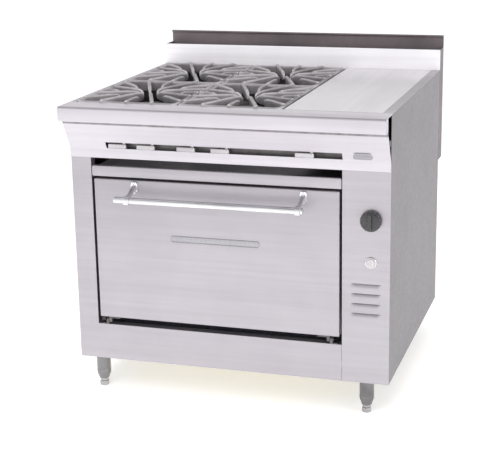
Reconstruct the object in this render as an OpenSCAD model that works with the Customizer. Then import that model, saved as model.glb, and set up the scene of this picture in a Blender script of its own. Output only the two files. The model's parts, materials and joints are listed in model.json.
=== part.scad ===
// Commercial gas range: four open burners, a hot plate, and one oven with a
// drop-down door. The origin is on the floor, under the centre of the range's
// outer box. X runs to the right, Y to the back and Z up. Lengths are in mm.
// Inside from_front(), Y is counted from the body's front plane.

/* [Body] */
// Width of the range
body_w = 914; // [900:1:960]
// Height of the cooking surface above the floor
deck_z = 854; // [850:1:880]
// Height of the body's lower edge above the floor
leg_h = 102; // [98:1:108]
// Depth of the body, from its front plane to its back panel
body_d = 787; // [787:1:800]
// Thickness of the casing sheet
sheet_t = 1.5; // [1.2:0.1:1.8]
// Width of the left stile beside the oven door
stile_w = 59.5; // [56:0.5:64]
// Width of the control panel on the right
control_w = 132; // [128:1:136]
// Height of the kick panel under the oven door
kick_h = 106; // [104:1:110]

/* [Front rail] */
// How far the front rail stands out from the body
rail_reach = 75; // [70:1:80]
// Height of the whole front rail
rail_h = 154; // [150:1:158]
// Height of the rail's upright band
band_h = 41; // [36:1:46]
// Height of the rail's lower lip
lip_h = 28; // [24:1:30]
// Height of the slot for the valve levers
slot_h = 19; // [18:0.5:21]

/* [Cooktop] */
// Depth of the top strip between the body's front plane and the grates
strip_d = 12; // [12:1:14]
// Distance from the body's front plane to the riser
top_d = 775; // [772:1:778]
// Width of the hot plate
plate_w = 270; // [266:1:274]
// Thickness of the hot plate
plate_t = 16; // [12:1:18]
// Height of the grates
grate_h = 36; // [34:1:38]
// Width of a grate finger
finger_w = 12; // [10:0.5:13]
// Radius of a burner head
burner_r = 50; // [44:1:52]

/* [Riser] */
// Height of the riser's front panel above the cooking surface
riser_front_h = 64; // [56:1:72]
// Height of the flue's back sheet above the cooking surface
riser_back_h = 102; // [94:1:110]
// Distance from the riser's front panel to the flue's back face
riser_d = 75; // [72:1:80]
// Height of the flue box's lower edge above the floor
flue_z = 565; // [562:1:580]

/* [Oven door] */
// Gap under the door
door_gap = 21; // [20:0.5:22]
// Height of the door
door_h = 411; // [408:1:411]
// Gap at each side of the door
side_gap = 6.5; // [5:0.5:7]
// Depth of the door's shell
door_d = 40; // [38:0.5:41]
// Length of the door's handle bar
handle_l = 540; // [500:1:560]
// Radius of the handle bar
handle_r = 9.5; // [8:0.5:10]
// Distance from the door's face to the handle bar's axis
handle_reach = 60; // [56:1:62]

/* [Controls] */
// Radius of the thermostat knob
knob_r = 29; // [24:1:30]
// Radius of the pilot button's bezel
bezel_r = 16.5; // [15:0.5:18]
// Travel of the pilot button
button_travel = 4; // [3:0.5:5]
// Number of louvres
louvre_count = 4; // [3:1:4]
// Width of a louvre
louvre_w = 82; // [70:1:90]
// Height from one louvre to the next
louvre_pitch = 28; // [24:1:30]

/* [Hidden] */
$fn = 48;

// Body
half_w = body_w / 2;
front_y = (rail_reach - top_d - riser_d) / 2;
seam = 0.4;
flange_d = 28;
open_x0 = -half_w + stile_w;
open_x1 = half_w - control_w;
kick_top = leg_h + kick_h;
rail_bottom = deck_z - rail_h;
casing_top = rail_bottom + 20;
frame_h = 38;
frame_t = 2;
frame_flange = 40;
screw_r = 4;
screw_h = 2;

// Legs and feet
leg_r = 20.5;
leg_flange_r = 32;
leg_tip_z = 22;
leg_inset_left = 50;
leg_inset_right = 70;
leg_y = [45, body_d - 60];
leg_x = [-half_w + leg_inset_left, half_w - leg_inset_right];
leg_bolt_r = 6;
stud_r = 8;
stud_top = 62;
running_gap = 0.05;

// Front rail
rail_t = 2;
nose_r = 6;
lip_y = -4;
lip_top = rail_bottom + lip_h;
band_bottom = deck_z - band_h;
nose_return = 26;
slope_run = rail_reach - nose_return + lip_y;
slope_rise = band_bottom - lip_top;
slope_angle = atan(slope_run / slope_rise);
slope_shift = rail_t * tan(slope_angle / 2);
slot_x0 = -345;
slot_x1 = open_x1 + 3;
slot_z0 = lip_top + 1;

// Cooktop
well_x0 = -half_w + 14;
well_x1 = half_w - 24;
well_z0 = rail_bottom;
well_z1 = deck_z - 4;
wall_t = 2;
plate_x1 = well_x1 - wall_t;
plate_x0 = plate_x1 - plate_w;
divider_x = plate_x0 - 4;
ledge_w = 12;
ledge_t = 4;
grate_gap = 2;
rest_gap = 0.3;
grate_x0 = well_x0 + wall_t;
grate_w = (divider_x - grate_x0) / 2 - grate_gap;
grate_y0 = strip_d + wall_t;
grate_d = (top_d - wall_t - grate_y0) / 2 - grate_gap;
grate_top = deck_z + 8;
grate_bottom = grate_top - grate_h;
grate_bar = 13;
grate_cx = [grate_x0 + grate_gap / 2 + grate_w / 2, divider_x - grate_gap / 2 - grate_w / 2];
grate_cy = [grate_y0 + grate_gap / 2 + grate_d / 2, top_d - wall_t - grate_gap / 2 - grate_d / 2];
finger_count = 16;
finger_in_long = 28;
finger_in_short = 92;

// Gas train: the valves, from left to right, feed the front left, rear left,
// rear right and front right burners and the plate burner.
pipe_r = 13.35;
pipe_bore_r = 11;
fitting_t = 2.5;
pipe_y = -7.5;
pipe_z = deck_z - 42;
valve_x = [grate_cx[0], grate_cx[0] + 84, grate_cx[1] - 98, grate_cx[1], plate_x0 + 83];
valve_r = 11;
valve_z0 = slot_z0 + 35;
valve_z1 = valve_z0 + 29;
plug_r = 4;
plug_top = valve_z0 + 22;
outlet_z = valve_z0 + 11;
outlet_r = 6;
lever_z0 = slot_z0 + 2.5;
lever_h = 13;
lever_l = 41;
lever_w = 9;
hub_r = 8;
venturi_r = 14;
burner_top = grate_bottom - 4;
burner_z0 = burner_top - 22;
venturi_y0 = 26;
inlet_x = 400;
inlet_y = 90;
inlet_z = 540;
inlet_end = top_d + 70;
socket_r = 12.6;
socket_l = 20;

// Oven
tray_h = 31;
finger_gap = 23;
tray_z1 = rail_bottom - finger_gap;
tray_z0 = tray_z1 - tray_h;
tray_t = 1.5;
tray_x0 = open_x0 + 1.5;
tray_x1 = open_x1 - 1.5;
tray_y0 = 1;
tray_y1 = 752;
door_x0 = open_x0 + side_gap;
door_x1 = open_x1 - side_gap;
door_z0 = kick_top + door_gap;
door_z1 = door_z0 + door_h;
door_cx = (door_x0 + door_x1) / 2;
gasket_d = 4;
liner_y0 = door_d + sheet_t + gasket_d + 0.5;
cavity_x0 = door_x0 + 25;
cavity_x1 = door_x1 - 25;
cavity_y1 = 640;
cavity_z0 = 150;
cavity_z1 = 622;
mouth_z0 = 258;
deck_plate_z = 262;
insulation_t = 25;
insulation_z0 = 148;
insulation_z1 = tray_z0 - 6;
vent_x = [-186, 113];
vent_z = [590, 610];
rack_z = [340, 420, 500];
rack_ledge = 12;
rack_rod_r = 3.5;
rack_wire_r = 1.8;
rack_y = [75, 600];
rack_wires = 21;
gas_line_r = 5;
gas_line_x = 425;
oven_burner_z = 195;
oven_burner_y = [92, 560];

// Door hinge, handle and plates
hinge_y = 8;
hinge_z = kick_top + 10;
hinge_r = 4;
cheek_t = 8;
cheek_in = 19;
handle_x = [door_cx - handle_l / 2, door_cx + handle_l / 2];
handle_z = door_z1 - 44;
bracket_w = 16;
bracket_in = [30, 6];
foot_z = handle_z + 24;
plate_z = 477;
nameplate_l = 261;
nameplate_r = 9.5;
badge_x = 383;

// Controls
control_x = half_w - 52;
knob_z = 566;
button_z = 448.6;
button_r = 12;
louvre_z = 380;
louvre_x0 = 351;

// ---- helpers ----

module from_front() {
    translate([0, front_y, 0]) children();
}

// A box between two opposite corners
module block(low, high) {
    translate(low) cube(high - low);
}

// A straight rod between two points
module rod(a, b, r) {
    d = b - a;
    translate(a)
        rotate([0, acos(d[2] / norm(d)), atan2(d[1], d[0])])
            cylinder(h = norm(d), r = r);
}

// A pipe through a list of points, with a ball-shaped fitting at each bend
module pipe_run(points, r) {
    for (i = [0 : len(points) - 2]) rod(points[i], points[i + 1], r);
    if (len(points) > 2)
        for (i = [1 : len(points) - 2]) translate(points[i]) sphere(r = r + fitting_t);
}

// A profile drawn in Y and Z, pulled out along X
module pulled_x(x0, x1) {
    translate([x0, 0, 0]) rotate([90, 0, 90]) linear_extrude(x1 - x0) children();
}

// ---- casing ----

module base_frame() {
    x = half_w - sheet_t;
    low = [-x, sheet_t, leg_h];
    high = [x, body_d - sheet_t, leg_h + frame_h];
    inset = [frame_t, frame_t, 0];
    color("slategray") from_front() difference() {
        union() {
            difference() {
                block(low, high);
                block(low + inset + [0, 0, frame_t], high - inset + [0, 0, 1]);
                block(low + [frame_flange, frame_flange, -1], high - [frame_flange, frame_flange, -1]);
            }
            for (lx = leg_x, ly = leg_y)
                block([lx - 38, ly - 38, leg_h + frame_t], [lx + 38, ly + 38, leg_h + frame_t + 4]);
        }
        for (lx = leg_x, ly = leg_y)
            translate([lx, ly, leg_h - 1]) cylinder(h = 20, r = leg_bolt_r + 0.2);
    }
}

// Left stile and kick panel, one welded sheet round the door opening
module front_casing() {
    color("gainsboro") from_front() {
        block([-half_w, 0, leg_h], [open_x0, sheet_t, casing_top]);
        block([-half_w, 0, leg_h], [open_x1, sheet_t, kick_top]);
        block([open_x0 - sheet_t, 0, kick_top - sheet_t], [open_x0, flange_d, rail_bottom]);
        block([open_x0 - sheet_t, 0, kick_top - sheet_t], [open_x1, flange_d, kick_top]);
    }
}

// One pressed louvre: a hood that opens downwards, with closed ends
module louvre_hood() {
    pulled_x(0, louvre_w) polygon([[0, 8], [-6, -3], [-4.6, -3], [0, 5.4]]);
    for (x = [0, louvre_w - sheet_t])
        pulled_x(x, x + sheet_t) polygon([[0, 8], [-6, -3], [0, -3]]);
}

module control_panel() {
    x0 = open_x1 + seam;
    color("gainsboro") from_front() {
        difference() {
            block([x0, 0, leg_h], [half_w, sheet_t, casing_top]);
            translate([control_x, -1, knob_z]) rotate([-90, 0, 0]) cylinder(h = 4, r = 7);
            translate([control_x, -1, button_z]) rotate([-90, 0, 0]) cylinder(h = 4, r = button_r + 2.2);
            for (i = [0 : louvre_count - 1])
                block([louvre_x0 + 2, -1, louvre_z - i * louvre_pitch - 3],
                      [louvre_x0 + louvre_w - 2, 3, louvre_z - i * louvre_pitch + 5]);
        }
        block([x0, sheet_t, leg_h + frame_h + 2], [x0 + sheet_t, flange_d, rail_bottom]);
        for (i = [0 : louvre_count - 1])
            translate([louvre_x0, 0, louvre_z - i * louvre_pitch]) louvre_hood();
    }
}

// Side sheet with a flange along its top and its back, drawn for the right side
module side_panel() {
    top = deck_z - sheet_t;
    back = body_d - sheet_t;
    block([half_w - sheet_t, sheet_t, leg_h], [half_w, back, top - sheet_t]);
    block([half_w - 12, strip_d + 2, top - sheet_t], [half_w, back, top]);
    block([half_w - 20, back - sheet_t, leg_h + frame_h + 2], [half_w, back, top]);
}

module left_side_panel() {
    color("darkgray") from_front() mirror([1, 0, 0]) side_panel();
}

module right_side_panel() {
    color("darkgray") from_front() side_panel();
}

module back_panel() {
    color("darkgray") from_front() difference() {
        block([-half_w, body_d - sheet_t, leg_h], [half_w, body_d, deck_z - sheet_t]);
        translate([inlet_x, body_d - 5, inlet_z]) rotate([-90, 0, 0]) cylinder(h = 10, r = pipe_r + 2);
        block([vent_x[0], body_d - 5, vent_z[0]], [vent_x[1], body_d + 5, vent_z[1]]);
    }
}

// Round screw heads on the back panel
module casing_screws() {
    color("silver") from_front()
        for (x = [-440, -150, 150, 440], z = [leg_h + 20, 350, flue_z - 25])
            translate([x, body_d, z]) rotate([-90, 0, 0]) cylinder(h = screw_h, r = screw_r);
}

// ---- oven ----

// Open-fronted box with a face flange, and ledges for the deck plate
module oven_liner() {
    low = [cavity_x0, liner_y0, cavity_z0];
    high = [cavity_x1, cavity_y1, cavity_z1];
    t = [sheet_t, 0, sheet_t];
    color("dimgray") from_front() difference() {
        union() {
            block(low - t, high + t + [0, sheet_t, 0]);
            block([open_x0 + 1.5, liner_y0, cavity_z0 - sheet_t],
                [open_x1 - 1.5, liner_y0 + sheet_t, tray_z0 - 2]);
        }
        difference() {
            block(low + [0, sheet_t, 0], high);
            for (x = [cavity_x0, cavity_x1 - 8])
                block([x, liner_y0 + 3, deck_plate_z - 8], [x + 8, cavity_y1 - 20, deck_plate_z - 4]);
        }
        block([cavity_x0, liner_y0 - 1, mouth_z0], [cavity_x1, liner_y0 + 3, cavity_z1]);
        block([vent_x[0], cavity_y1 - 1, vent_z[0]], [vent_x[1], cavity_y1 + 5, vent_z[1]]);
        rod([cavity_x1 - 1, oven_burner_y[0], oven_burner_z],
            [cavity_x1 + 5, oven_burner_y[0], oven_burner_z], 8);
    }
}

// Blanket round the liner's top, sides, underside and back
module oven_insulation() {
    wrap = [insulation_t, 0, 0];
    y0 = liner_y0 + sheet_t;
    low = [cavity_x0 - sheet_t, y0, cavity_z0 - sheet_t];
    high = [cavity_x1 + sheet_t, cavity_y1 + sheet_t, cavity_z1 + sheet_t];
    color("khaki") from_front() difference() {
        block([low[0], y0, insulation_z0 - 6] - wrap,
            [high[0], high[1] + insulation_t, insulation_z1] + wrap);
        block(low - [0, 1, 0], high);
        block([vent_x[0], cavity_y1, vent_z[0]], [vent_x[1], cavity_y1 + 40, vent_z[1]]);
        rod([high[0] - 1, oven_burner_y[0], oven_burner_z],
            [high[0] + 30, oven_burner_y[0], oven_burner_z], 8);
    }
}

// Removable oven floor with a row of heat slots along each side
module oven_deck() {
    color("dimgray") from_front() difference() {
        block([cavity_x0 + 2, liner_y0 + 6, deck_plate_z - 4], [cavity_x1 - 2, cavity_y1 - 20, deck_plate_z]);
        for (y = [120 : 90 : 480], x = [cavity_x0 + 30, cavity_x1 - 50])
            block([x, y, deck_plate_z - 6], [x + 20, y + 50, deck_plate_z + 1]);
    }
}

// Tube burner under the oven floor, fed from the right
module oven_burner() {
    corner = [door_cx, oven_burner_y[0], oven_burner_z];
    mouth = [cavity_x1 - 12, oven_burner_y[0], oven_burner_z];
    color("darkslategray") from_front() difference() {
        union() {
            rod(mouth, corner, venturi_r);
            translate(corner) sphere(r = venturi_r + 4 + fitting_t);
            rod(corner, [door_cx, oven_burner_y[1], oven_burner_z], venturi_r + 4);
            block([door_cx - 25, oven_burner_y[1] - 30, cavity_z0],
                [door_cx + 25, oven_burner_y[1] - 26, oven_burner_z]);
        }
        rod(mouth + [1, 0, 0], mouth - [60, 0, 0], venturi_r - 4);
    }
}

// Gas tube from the thermostat down to the oven burner
module oven_gas_line() {
    color("goldenrod") from_front() pipe_run([
        [gas_line_x, 40, knob_z - 30],
        [gas_line_x, 40, oven_burner_z],
        [gas_line_x, oven_burner_y[0], oven_burner_z],
        [cavity_x1 - 20, oven_burner_y[0], oven_burner_z]], gas_line_r);
}

// A pressed plate with three ledges on each side wall
module rack_guides() {
    color("silver") from_front() for (side = [0, 1])
        translate([side * (cavity_x0 + cavity_x1), 0, 0]) mirror([side, 0, 0]) {
            block([cavity_x0, 80, rack_z[0] - 30], [cavity_x0 + 2, 560, rack_z[2] + 40]);
            for (z = rack_z)
                block([cavity_x0, 80, z - 2], [cavity_x0 + rack_ledge, 600, z]);
        }
}

// Wire rack on the middle ledges
module oven_rack() {
    x0 = cavity_x0 + 8;
    x1 = cavity_x1 - 8;
    z = rack_z[1] + 0.3 + rack_rod_r;
    pitch = (x1 - x0) / (rack_wires + 1);
    color("silver") from_front() {
        for (x = [x0, x1]) rod([x, rack_y[0], z], [x, rack_y[1], z], rack_rod_r);
        for (y = rack_y) rod([x0, y, z], [x1, y, z], rack_rod_r);
        for (x = [x0, x1], y = rack_y) translate([x, y, z]) sphere(r = rack_rod_r);
        rod([x0, (rack_y[0] + rack_y[1]) / 2, z], [x1, (rack_y[0] + rack_y[1]) / 2, z], rack_rod_r - 0.5);
        for (i = [1 : rack_wires])
            rod([x0 + i * pitch, rack_y[0], z], [x0 + i * pitch, rack_y[1], z], rack_wire_r);
    }
}

// ---- front rail ----

// The rail's folded sheet: outer outline out and inner outline back
function nose_arc(r, angles) =
    [for (a = angles) [-rail_reach + nose_r + r * cos(a), deck_z - nose_r + r * sin(a)]];

module rail_profile() {
    outer = concat(
        [[strip_d, deck_z]],
        nose_arc(nose_r, [90 : 15 : 180]),
        [[-rail_reach, band_bottom], [-rail_reach + nose_return, band_bottom],
         [lip_y, lip_top], [lip_y, rail_bottom], [0, rail_bottom]]);
    inner = concat(
        [[0, rail_bottom + rail_t], [lip_y + rail_t, rail_bottom + rail_t],
         [lip_y + rail_t, lip_top + slope_shift],
         [slope_inside_y(band_bottom + rail_t), band_bottom + rail_t],
         [-rail_reach + rail_t, band_bottom + rail_t]],
        nose_arc(nose_r - rail_t, [180 : -15 : 90]),
        [[strip_d, deck_z - rail_t]]);
    polygon(concat(outer, inner));
}

module front_rail() {
    nose_back = -rail_reach + nose_return;
    color("gainsboro") from_front() {
        difference() {
            pulled_x(-half_w, half_w) rail_profile();
            block([slot_x0, -40, slot_z0], [slot_x1, 2, slot_z0 + slot_h]);
        }
        for (x = [-half_w, half_w - rail_t])
            pulled_x(x, x + rail_t) polygon([
                [-rail_reach + 1, band_bottom + 1],
                [-rail_reach + 1, deck_z - nose_r],
                [-rail_reach + nose_r, deck_z - 1],
                [nose_back, deck_z - 1],
                [nose_back, band_bottom + 1]]);
    }
}

// Where the inside of the rail's slope is, at a height
function slope_inside_y(z) = lip_y - (z - lip_top) * slope_run / slope_rise + rail_t / cos(slope_angle);

// A strap at each open end of the rail, from the side panel to the sloped face
module rail_brackets() {
    x = half_w - sheet_t;
    z0 = lip_top + 42;
    z1 = z0 + 16;
    color("silver") from_front() for (side = [0, 1]) mirror([side, 0, 0]) {
        pulled_x(x - 2, x) polygon([[24, z0], [slope_inside_y(z0), z0], [slope_inside_y(z1), z1], [24, z1]]);
        rod([x, -20, z0 + 8], [half_w, -20, z0 + 8], 5);
    }
}

// Plain plate on the rail's slope
module rail_badge() {
    z = lip_top + 14;
    y = lip_y - (z - lip_top) * slope_run / slope_rise;
    color("silver") from_front() translate([badge_x, y, z]) rotate([slope_angle, 0, 0])
        block([-28, -2, -11], [28, 0, 11]);
}

// ---- gas train ----

module gas_manifold() {
    end_x = half_w - 12;
    color("dimgray") from_front() difference() {
        union() {
            rod([-end_x, pipe_y, pipe_z], [end_x, pipe_y, pipe_z], pipe_r);
            for (side = [-1, 1])
                rod([side * (end_x - 16), pipe_y, pipe_z], [side * (end_x + 4), pipe_y, pipe_z], pipe_r + 4);
        }
        rod([10 - end_x, pipe_y, pipe_z], [end_x - 10, pipe_y, pipe_z], pipe_bore_r);
        for (x = valve_x) rod([x, pipe_y, pipe_z - 20], [x, pipe_y, pipe_z], outlet_r);
        rod([inlet_x, pipe_y, pipe_z], [inlet_x, pipe_y + 20, pipe_z], pipe_bore_r);
    }
}

// Supply pipe from the manifold to a threaded socket at the back
module gas_inlet() {
    collar_y = pipe_y + pipe_r + 0.5;
    color("dimgray") from_front() difference() {
        union() {
            rod([inlet_x, collar_y - 4, pipe_z], [inlet_x, collar_y + 1, pipe_z], pipe_bore_r - 0.5);
            rod([inlet_x, collar_y, pipe_z], [inlet_x, collar_y + 26, pipe_z], pipe_r + 4.5);
            rod([inlet_x, collar_y + 10, pipe_z], [inlet_x, inlet_y, pipe_z], pipe_r);
            rod([inlet_x, inlet_y, pipe_z], [inlet_x, inlet_y, inlet_z], pipe_r);
            rod([inlet_x, inlet_y, inlet_z], [inlet_x, inlet_end - 30, inlet_z], pipe_r);
            for (z = [pipe_z, inlet_z]) translate([inlet_x, inlet_y, z]) sphere(r = pipe_r + 6);
            rod([inlet_x, inlet_end - 38, inlet_z], [inlet_x, inlet_end, inlet_z], pipe_r + 4.5);
        }
        rod([inlet_x, inlet_end - socket_l, inlet_z], [inlet_x, inlet_end + 1, inlet_z], socket_r);
    }
}

// Gas cocks under the manifold, each with an upright plug and a rear outlet
module gas_valves() {
    color("goldenrod") from_front() for (x = valve_x) difference() {
        union() {
            translate([x, pipe_y, valve_z0]) cylinder(h = valve_z1 - valve_z0, r = valve_r);
            translate([x, pipe_y, valve_z1]) cylinder(h = pipe_z - 11 - valve_z1, r = outlet_r);
            rod([x, pipe_y, outlet_z], [x, 20, outlet_z], outlet_r);
        }
        translate([x, pipe_y, valve_z0 - 1]) cylinder(h = plug_top - valve_z0 + 3, r = plug_r + running_gap);
    }
}

// A lever with its plug; it lies along the slot when shut
module valve_lever(i) {
    color("whitesmoke") from_front() translate([valve_x[i], pipe_y, 0]) {
        translate([0, 0, lever_z0]) cylinder(h = lever_h, r = hub_r);
        translate([0, 0, lever_z0]) cylinder(h = plug_top - lever_z0, r = plug_r);
        block([-lever_l, -lever_w, lever_z0], [0, 0, lever_z0 + lever_h]);
        translate([-lever_l, -lever_w / 2, lever_z0]) cylinder(h = lever_h, r = lever_w / 2);
    }
}

module valve_lever_1() { valve_lever(0); }
module valve_lever_2() { valve_lever(1); }
module valve_lever_3() { valve_lever(2); }
module valve_lever_4() { valve_lever(3); }
module valve_lever_5() { valve_lever(4); }

// Cast burner: a round head on a mixing tube that starts behind its valve
module burner(centre, feed_x) {
    at = [centre[0], centre[1], outlet_z];
    start = [feed_x, venturi_y0, outlet_z];
    turn = [feed_x, centre[1], outlet_z];
    color("dimgray") from_front() difference() {
        union() {
            rod(start, turn, venturi_r);
            rod(start, start + [0, 24, 0], venturi_r + 4);
            translate(turn) sphere(r = venturi_r + fitting_t);
            if (abs(feed_x - centre[0]) > 1) rod(turn, at, venturi_r);
            translate([at[0], at[1], outlet_z - venturi_r - 9]) cylinder(h = 20, r = 8);
            translate(at) cylinder(h = burner_z0 - outlet_z + 1, r = venturi_r + 4);
            translate([at[0], at[1], burner_z0]) rotate_extrude()
                polygon([[0, 0], [burner_r - 8, 0], [burner_r, 6],
                    [burner_r, 12], [burner_r - 12, 22], [0, 22]]);
        }
        rod(start - [0, 1, 0], start + [0, 60, 0], venturi_r - 3);
        for (a = [0 : 30 : 330]) rotate_about(at, a)
            block([burner_r - 5, -1.5, burner_z0 + 7], [burner_r + 1, 1.5, burner_z0 + 11]);
    }
}

// Turns its children, drawn round the Z axis, to stand round a point
module rotate_about(at, angle) {
    translate([at[0], at[1], 0]) rotate([0, 0, angle]) children();
}

module burner_front_left() { burner([grate_cx[0], grate_cy[0]], valve_x[0]); }
module burner_rear_left() { burner([grate_cx[0], grate_cy[1]], valve_x[1]); }
module burner_rear_right() { burner([grate_cx[1], grate_cy[1]], valve_x[2]); }
module burner_front_right() { burner([grate_cx[1], grate_cy[0]], valve_x[3]); }

// Two-legged tube burner under the hot plate
module plate_burner() {
    x0 = valve_x[4];
    x1 = x0 + 106;
    y = [120, 640];
    z = outlet_z;
    color("dimgray") from_front() difference() {
        union() {
            pipe_run([[x0, venturi_y0, z], [x0, y[1], z]], venturi_r);
            pipe_run([[x0, y[0], z], [x1, y[0], z], [x1, y[1], z]], venturi_r);
            rod([x0, venturi_y0, z], [x0, venturi_y0 + 24, z], venturi_r + 4);
        }
        rod([x0, venturi_y0 - 1, z], [x0, venturi_y0 + 60, z], venturi_r - 3);
    }
}

// ---- cooktop ----

// The burner box: walls, divider, ledges, bearers and the tray's runners
module top_frame() {
    w = wall_t;
    low = [well_x0, strip_d, well_z0];
    high = [well_x1, top_d, well_z1];
    mid_x = (grate_cx[0] + grate_cx[1]) / 2;
    mid_y = (grate_cy[0] + grate_cy[1]) / 2;
    plate_ledge = deck_z - plate_t;
    seat_z = grate_bottom - rest_gap;
    color("slategray") from_front() {
        difference() {
            block(low, high);
            block(low + [w, w, -1], high - [w, w, -1]);
            for (x = valve_x) rod([x, strip_d - 1, outlet_z], [x, strip_d + w + 1, outlet_z], 9);
            rod([inlet_x, strip_d - 1, pipe_z], [inlet_x, strip_d + w + 1, pipe_z], pipe_r + 6);
        }
        block([divider_x, strip_d, well_z0], [divider_x + w, top_d, well_z1]);
        ledge_ring([grate_x0, divider_x], seat_z, ledge_w);
        ledge_ring([divider_x + w, plate_x1], plate_ledge, 8);
        block([mid_x - 6, strip_d, seat_z - 20], [mid_x + 6, top_d, seat_z]);
        block([well_x0, mid_y - 6, seat_z - 20], [divider_x, mid_y + 6, seat_z]);
        for (y = [200, 600])
            block([divider_x, y - 10, outlet_z - venturi_r - 4], [well_x1, y + 10, outlet_z - venturi_r]);
        for (y = grate_cy)
            block([well_x0, y - 12, outlet_z - venturi_r - 13],
                [divider_x, y + 12, outlet_z - venturi_r - 9]);
        tray_runner([well_x0, tray_x0 - 2], 1);
        tray_runner([tray_x1 + 2, well_x1], -1);
    }
}

// A ledge all the way round the inside of one part of the burner box
module ledge_ring(xs, top, width) {
    difference() {
        block([xs[0], strip_d, top - ledge_t], [xs[1], top_d, top]);
        block([xs[0] + width, strip_d + width + wall_t, top - ledge_t - 1],
            [xs[1] - width, top_d - width - wall_t, top + 1]);
    }
}

// Hanger and foot that carry one side of the crumb tray
module tray_runner(xs, side) {
    y0 = 115;
    wall = side > 0 ? [xs[1] - wall_t, xs[1]] : [xs[0], xs[0] + wall_t];
    foot = side > 0 ? [wall[0], wall[1] + 14] : [wall[0] - 14, wall[1]];
    block([xs[0], y0, well_z0], [xs[1], top_d, well_z0 + wall_t]);
    block([wall[0], y0, tray_z0 - 3], [wall[1], tray_y1, well_z0 + wall_t]);
    block([foot[0], y0, tray_z0 - 3], [foot[1], tray_y1, tray_z0 - 0.4]);
}

// Cast grate: a frame with fingers that run in towards the burner
module grate(centre) {
    half = [grate_w / 2, grate_d / 2, 0];
    at = [centre[0], centre[1], 0];
    color("gray") from_front() {
        difference() {
            block(at - half + [0, 0, grate_bottom], at + half + [0, 0, grate_top - 6]);
            block(at - half + [grate_bar, grate_bar, grate_bottom - 1],
                at + half - [grate_bar, grate_bar, -grate_top]);
        }
        intersection() {
            block(at - half + [0, 0, grate_bottom + 6], at + half + [0, 0, grate_top]);
            for (k = [0 : finger_count - 1]) rotate_about(at, k * 360 / finger_count)
                block([k % 2 == 0 ? finger_in_short : finger_in_long, -finger_w / 2, grate_bottom + 6],
                      [grate_d, finger_w / 2, grate_top]);
        }
    }
}

module grate_front_left() { grate([grate_cx[0], grate_cy[0]]); }
module grate_rear_left() { grate([grate_cx[0], grate_cy[1]]); }
module grate_rear_right() { grate([grate_cx[1], grate_cy[1]]); }
module grate_front_right() { grate([grate_cx[1], grate_cy[0]]); }

module hot_plate() {
    color("lightgray") from_front()
        block([plate_x0, strip_d + wall_t + 1, deck_z - plate_t], [plate_x1 - 1, top_d - wall_t - 1, deck_z]);
}

// A capping strip along one side of the cooktop
module top_trim(x0, x1) {
    block([x0, strip_d, deck_z - sheet_t], [x1, top_d, deck_z]);
}

module top_trim_left() {
    color("gainsboro") from_front() {
        top_trim(-half_w, well_x0 + wall_t);
        block([well_x0 - sheet_t, strip_d + 2, deck_z - 14], [well_x0, top_d, deck_z]);
    }
}

module top_trim_right() {
    color("gainsboro") from_front() {
        top_trim(plate_x1, half_w);
        block([well_x1, strip_d + 2, deck_z - 14], [well_x1 + sheet_t, top_d, deck_z]);
    }
}

// ---- riser ----

// Front panel of the riser, with a top fold and short returns at the ends
module riser_front() {
    top = deck_z + riser_front_h;
    color("gainsboro") from_front() {
        block([-half_w, top_d, deck_z], [half_w, top_d + sheet_t, top]);
        block([-half_w + 22, top_d, deck_z - 40], [half_w - 22, top_d + sheet_t, deck_z]);
        block([-half_w, top_d, top - sheet_t], [half_w, top_d + 10, top]);
        for (x = [-half_w, half_w - sheet_t])
            block([x, top_d, deck_z], [x + sheet_t, body_d, top]);
    }
}

// Flue box behind the body, open at the top
module riser_back() {
    top = deck_z + riser_back_h;
    back = top_d + riser_d;
    side_top = deck_z + riser_front_h;
    color("dimgray") from_front() {
        block([-half_w, back - sheet_t, flue_z], [half_w, back, top]);
        block([-half_w, back - 8, top - 6], [half_w, back, top]);
        block([-half_w, body_d, flue_z], [half_w, back, flue_z + sheet_t]);
        for (x = [-half_w, half_w - sheet_t])
            block([x, body_d, flue_z], [x + sheet_t, back, side_top]);
    }
}

// ---- legs and feet ----

module legs() {
    color("gray") from_front() for (x = leg_x, y = leg_y) translate([x, y, 0]) difference() {
        rotate_extrude() polygon([
            [0, leg_tip_z],
            [14.5, leg_tip_z],
            [leg_r, leg_tip_z + 16],
            [leg_r, leg_h - 4],
            [leg_flange_r, leg_h - 4],
            [leg_flange_r, leg_h],
            [leg_bolt_r, leg_h],
            [leg_bolt_r, leg_h + 14],
            [0, leg_h + 14]]);
        translate([0, 0, leg_tip_z - 1]) cylinder(h = stud_top - leg_tip_z + 4, r = stud_r + running_gap);
    }
}

// Screw-in foot with its stud
module foot(x, y) {
    color("silver") from_front() translate([x, y, 0]) rotate_extrude() polygon([
        [0, 0], [12, 0], [13.5, 3], [13.5, 13], [11, 15], [11, leg_tip_z - 0.5],
        [stud_r, leg_tip_z - 0.5], [stud_r, stud_top], [0, stud_top]]);
}

module foot_front_left() { foot(leg_x[0], leg_y[0]); }
module foot_front_right() { foot(leg_x[1], leg_y[0]); }
module foot_rear_left() { foot(leg_x[0], leg_y[1]); }
module foot_rear_right() { foot(leg_x[1], leg_y[1]); }

// ---- controls ----

module thermostat_body() {
    shaft_r = 4;
    color("dimgray") from_front() difference() {
        block([control_x - 25, sheet_t, knob_z - 30], [control_x + 25, 48, knob_z + 30]);
        rod([control_x, 0, knob_z], [control_x, 26, knob_z], shaft_r + running_gap);
    }
}

// Knob with a grip bar across its face, on the thermostat's shaft
module thermostat_knob() {
    shaft_r = 4;
    color("black") from_front() translate([control_x, 0, knob_z]) rotate([90, 0, 0]) {
        translate([0, 0, 3]) cylinder(h = 9, r = knob_r);
        translate([0, 0, 12]) cylinder(h = 8, r1 = knob_r - 2, r2 = knob_r - 6);
        block([-6, -knob_r + 7, 19], [6, knob_r - 7, 30]);
        translate([0, 0, -22]) cylinder(h = 26, r = shaft_r);
    }
}

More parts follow.
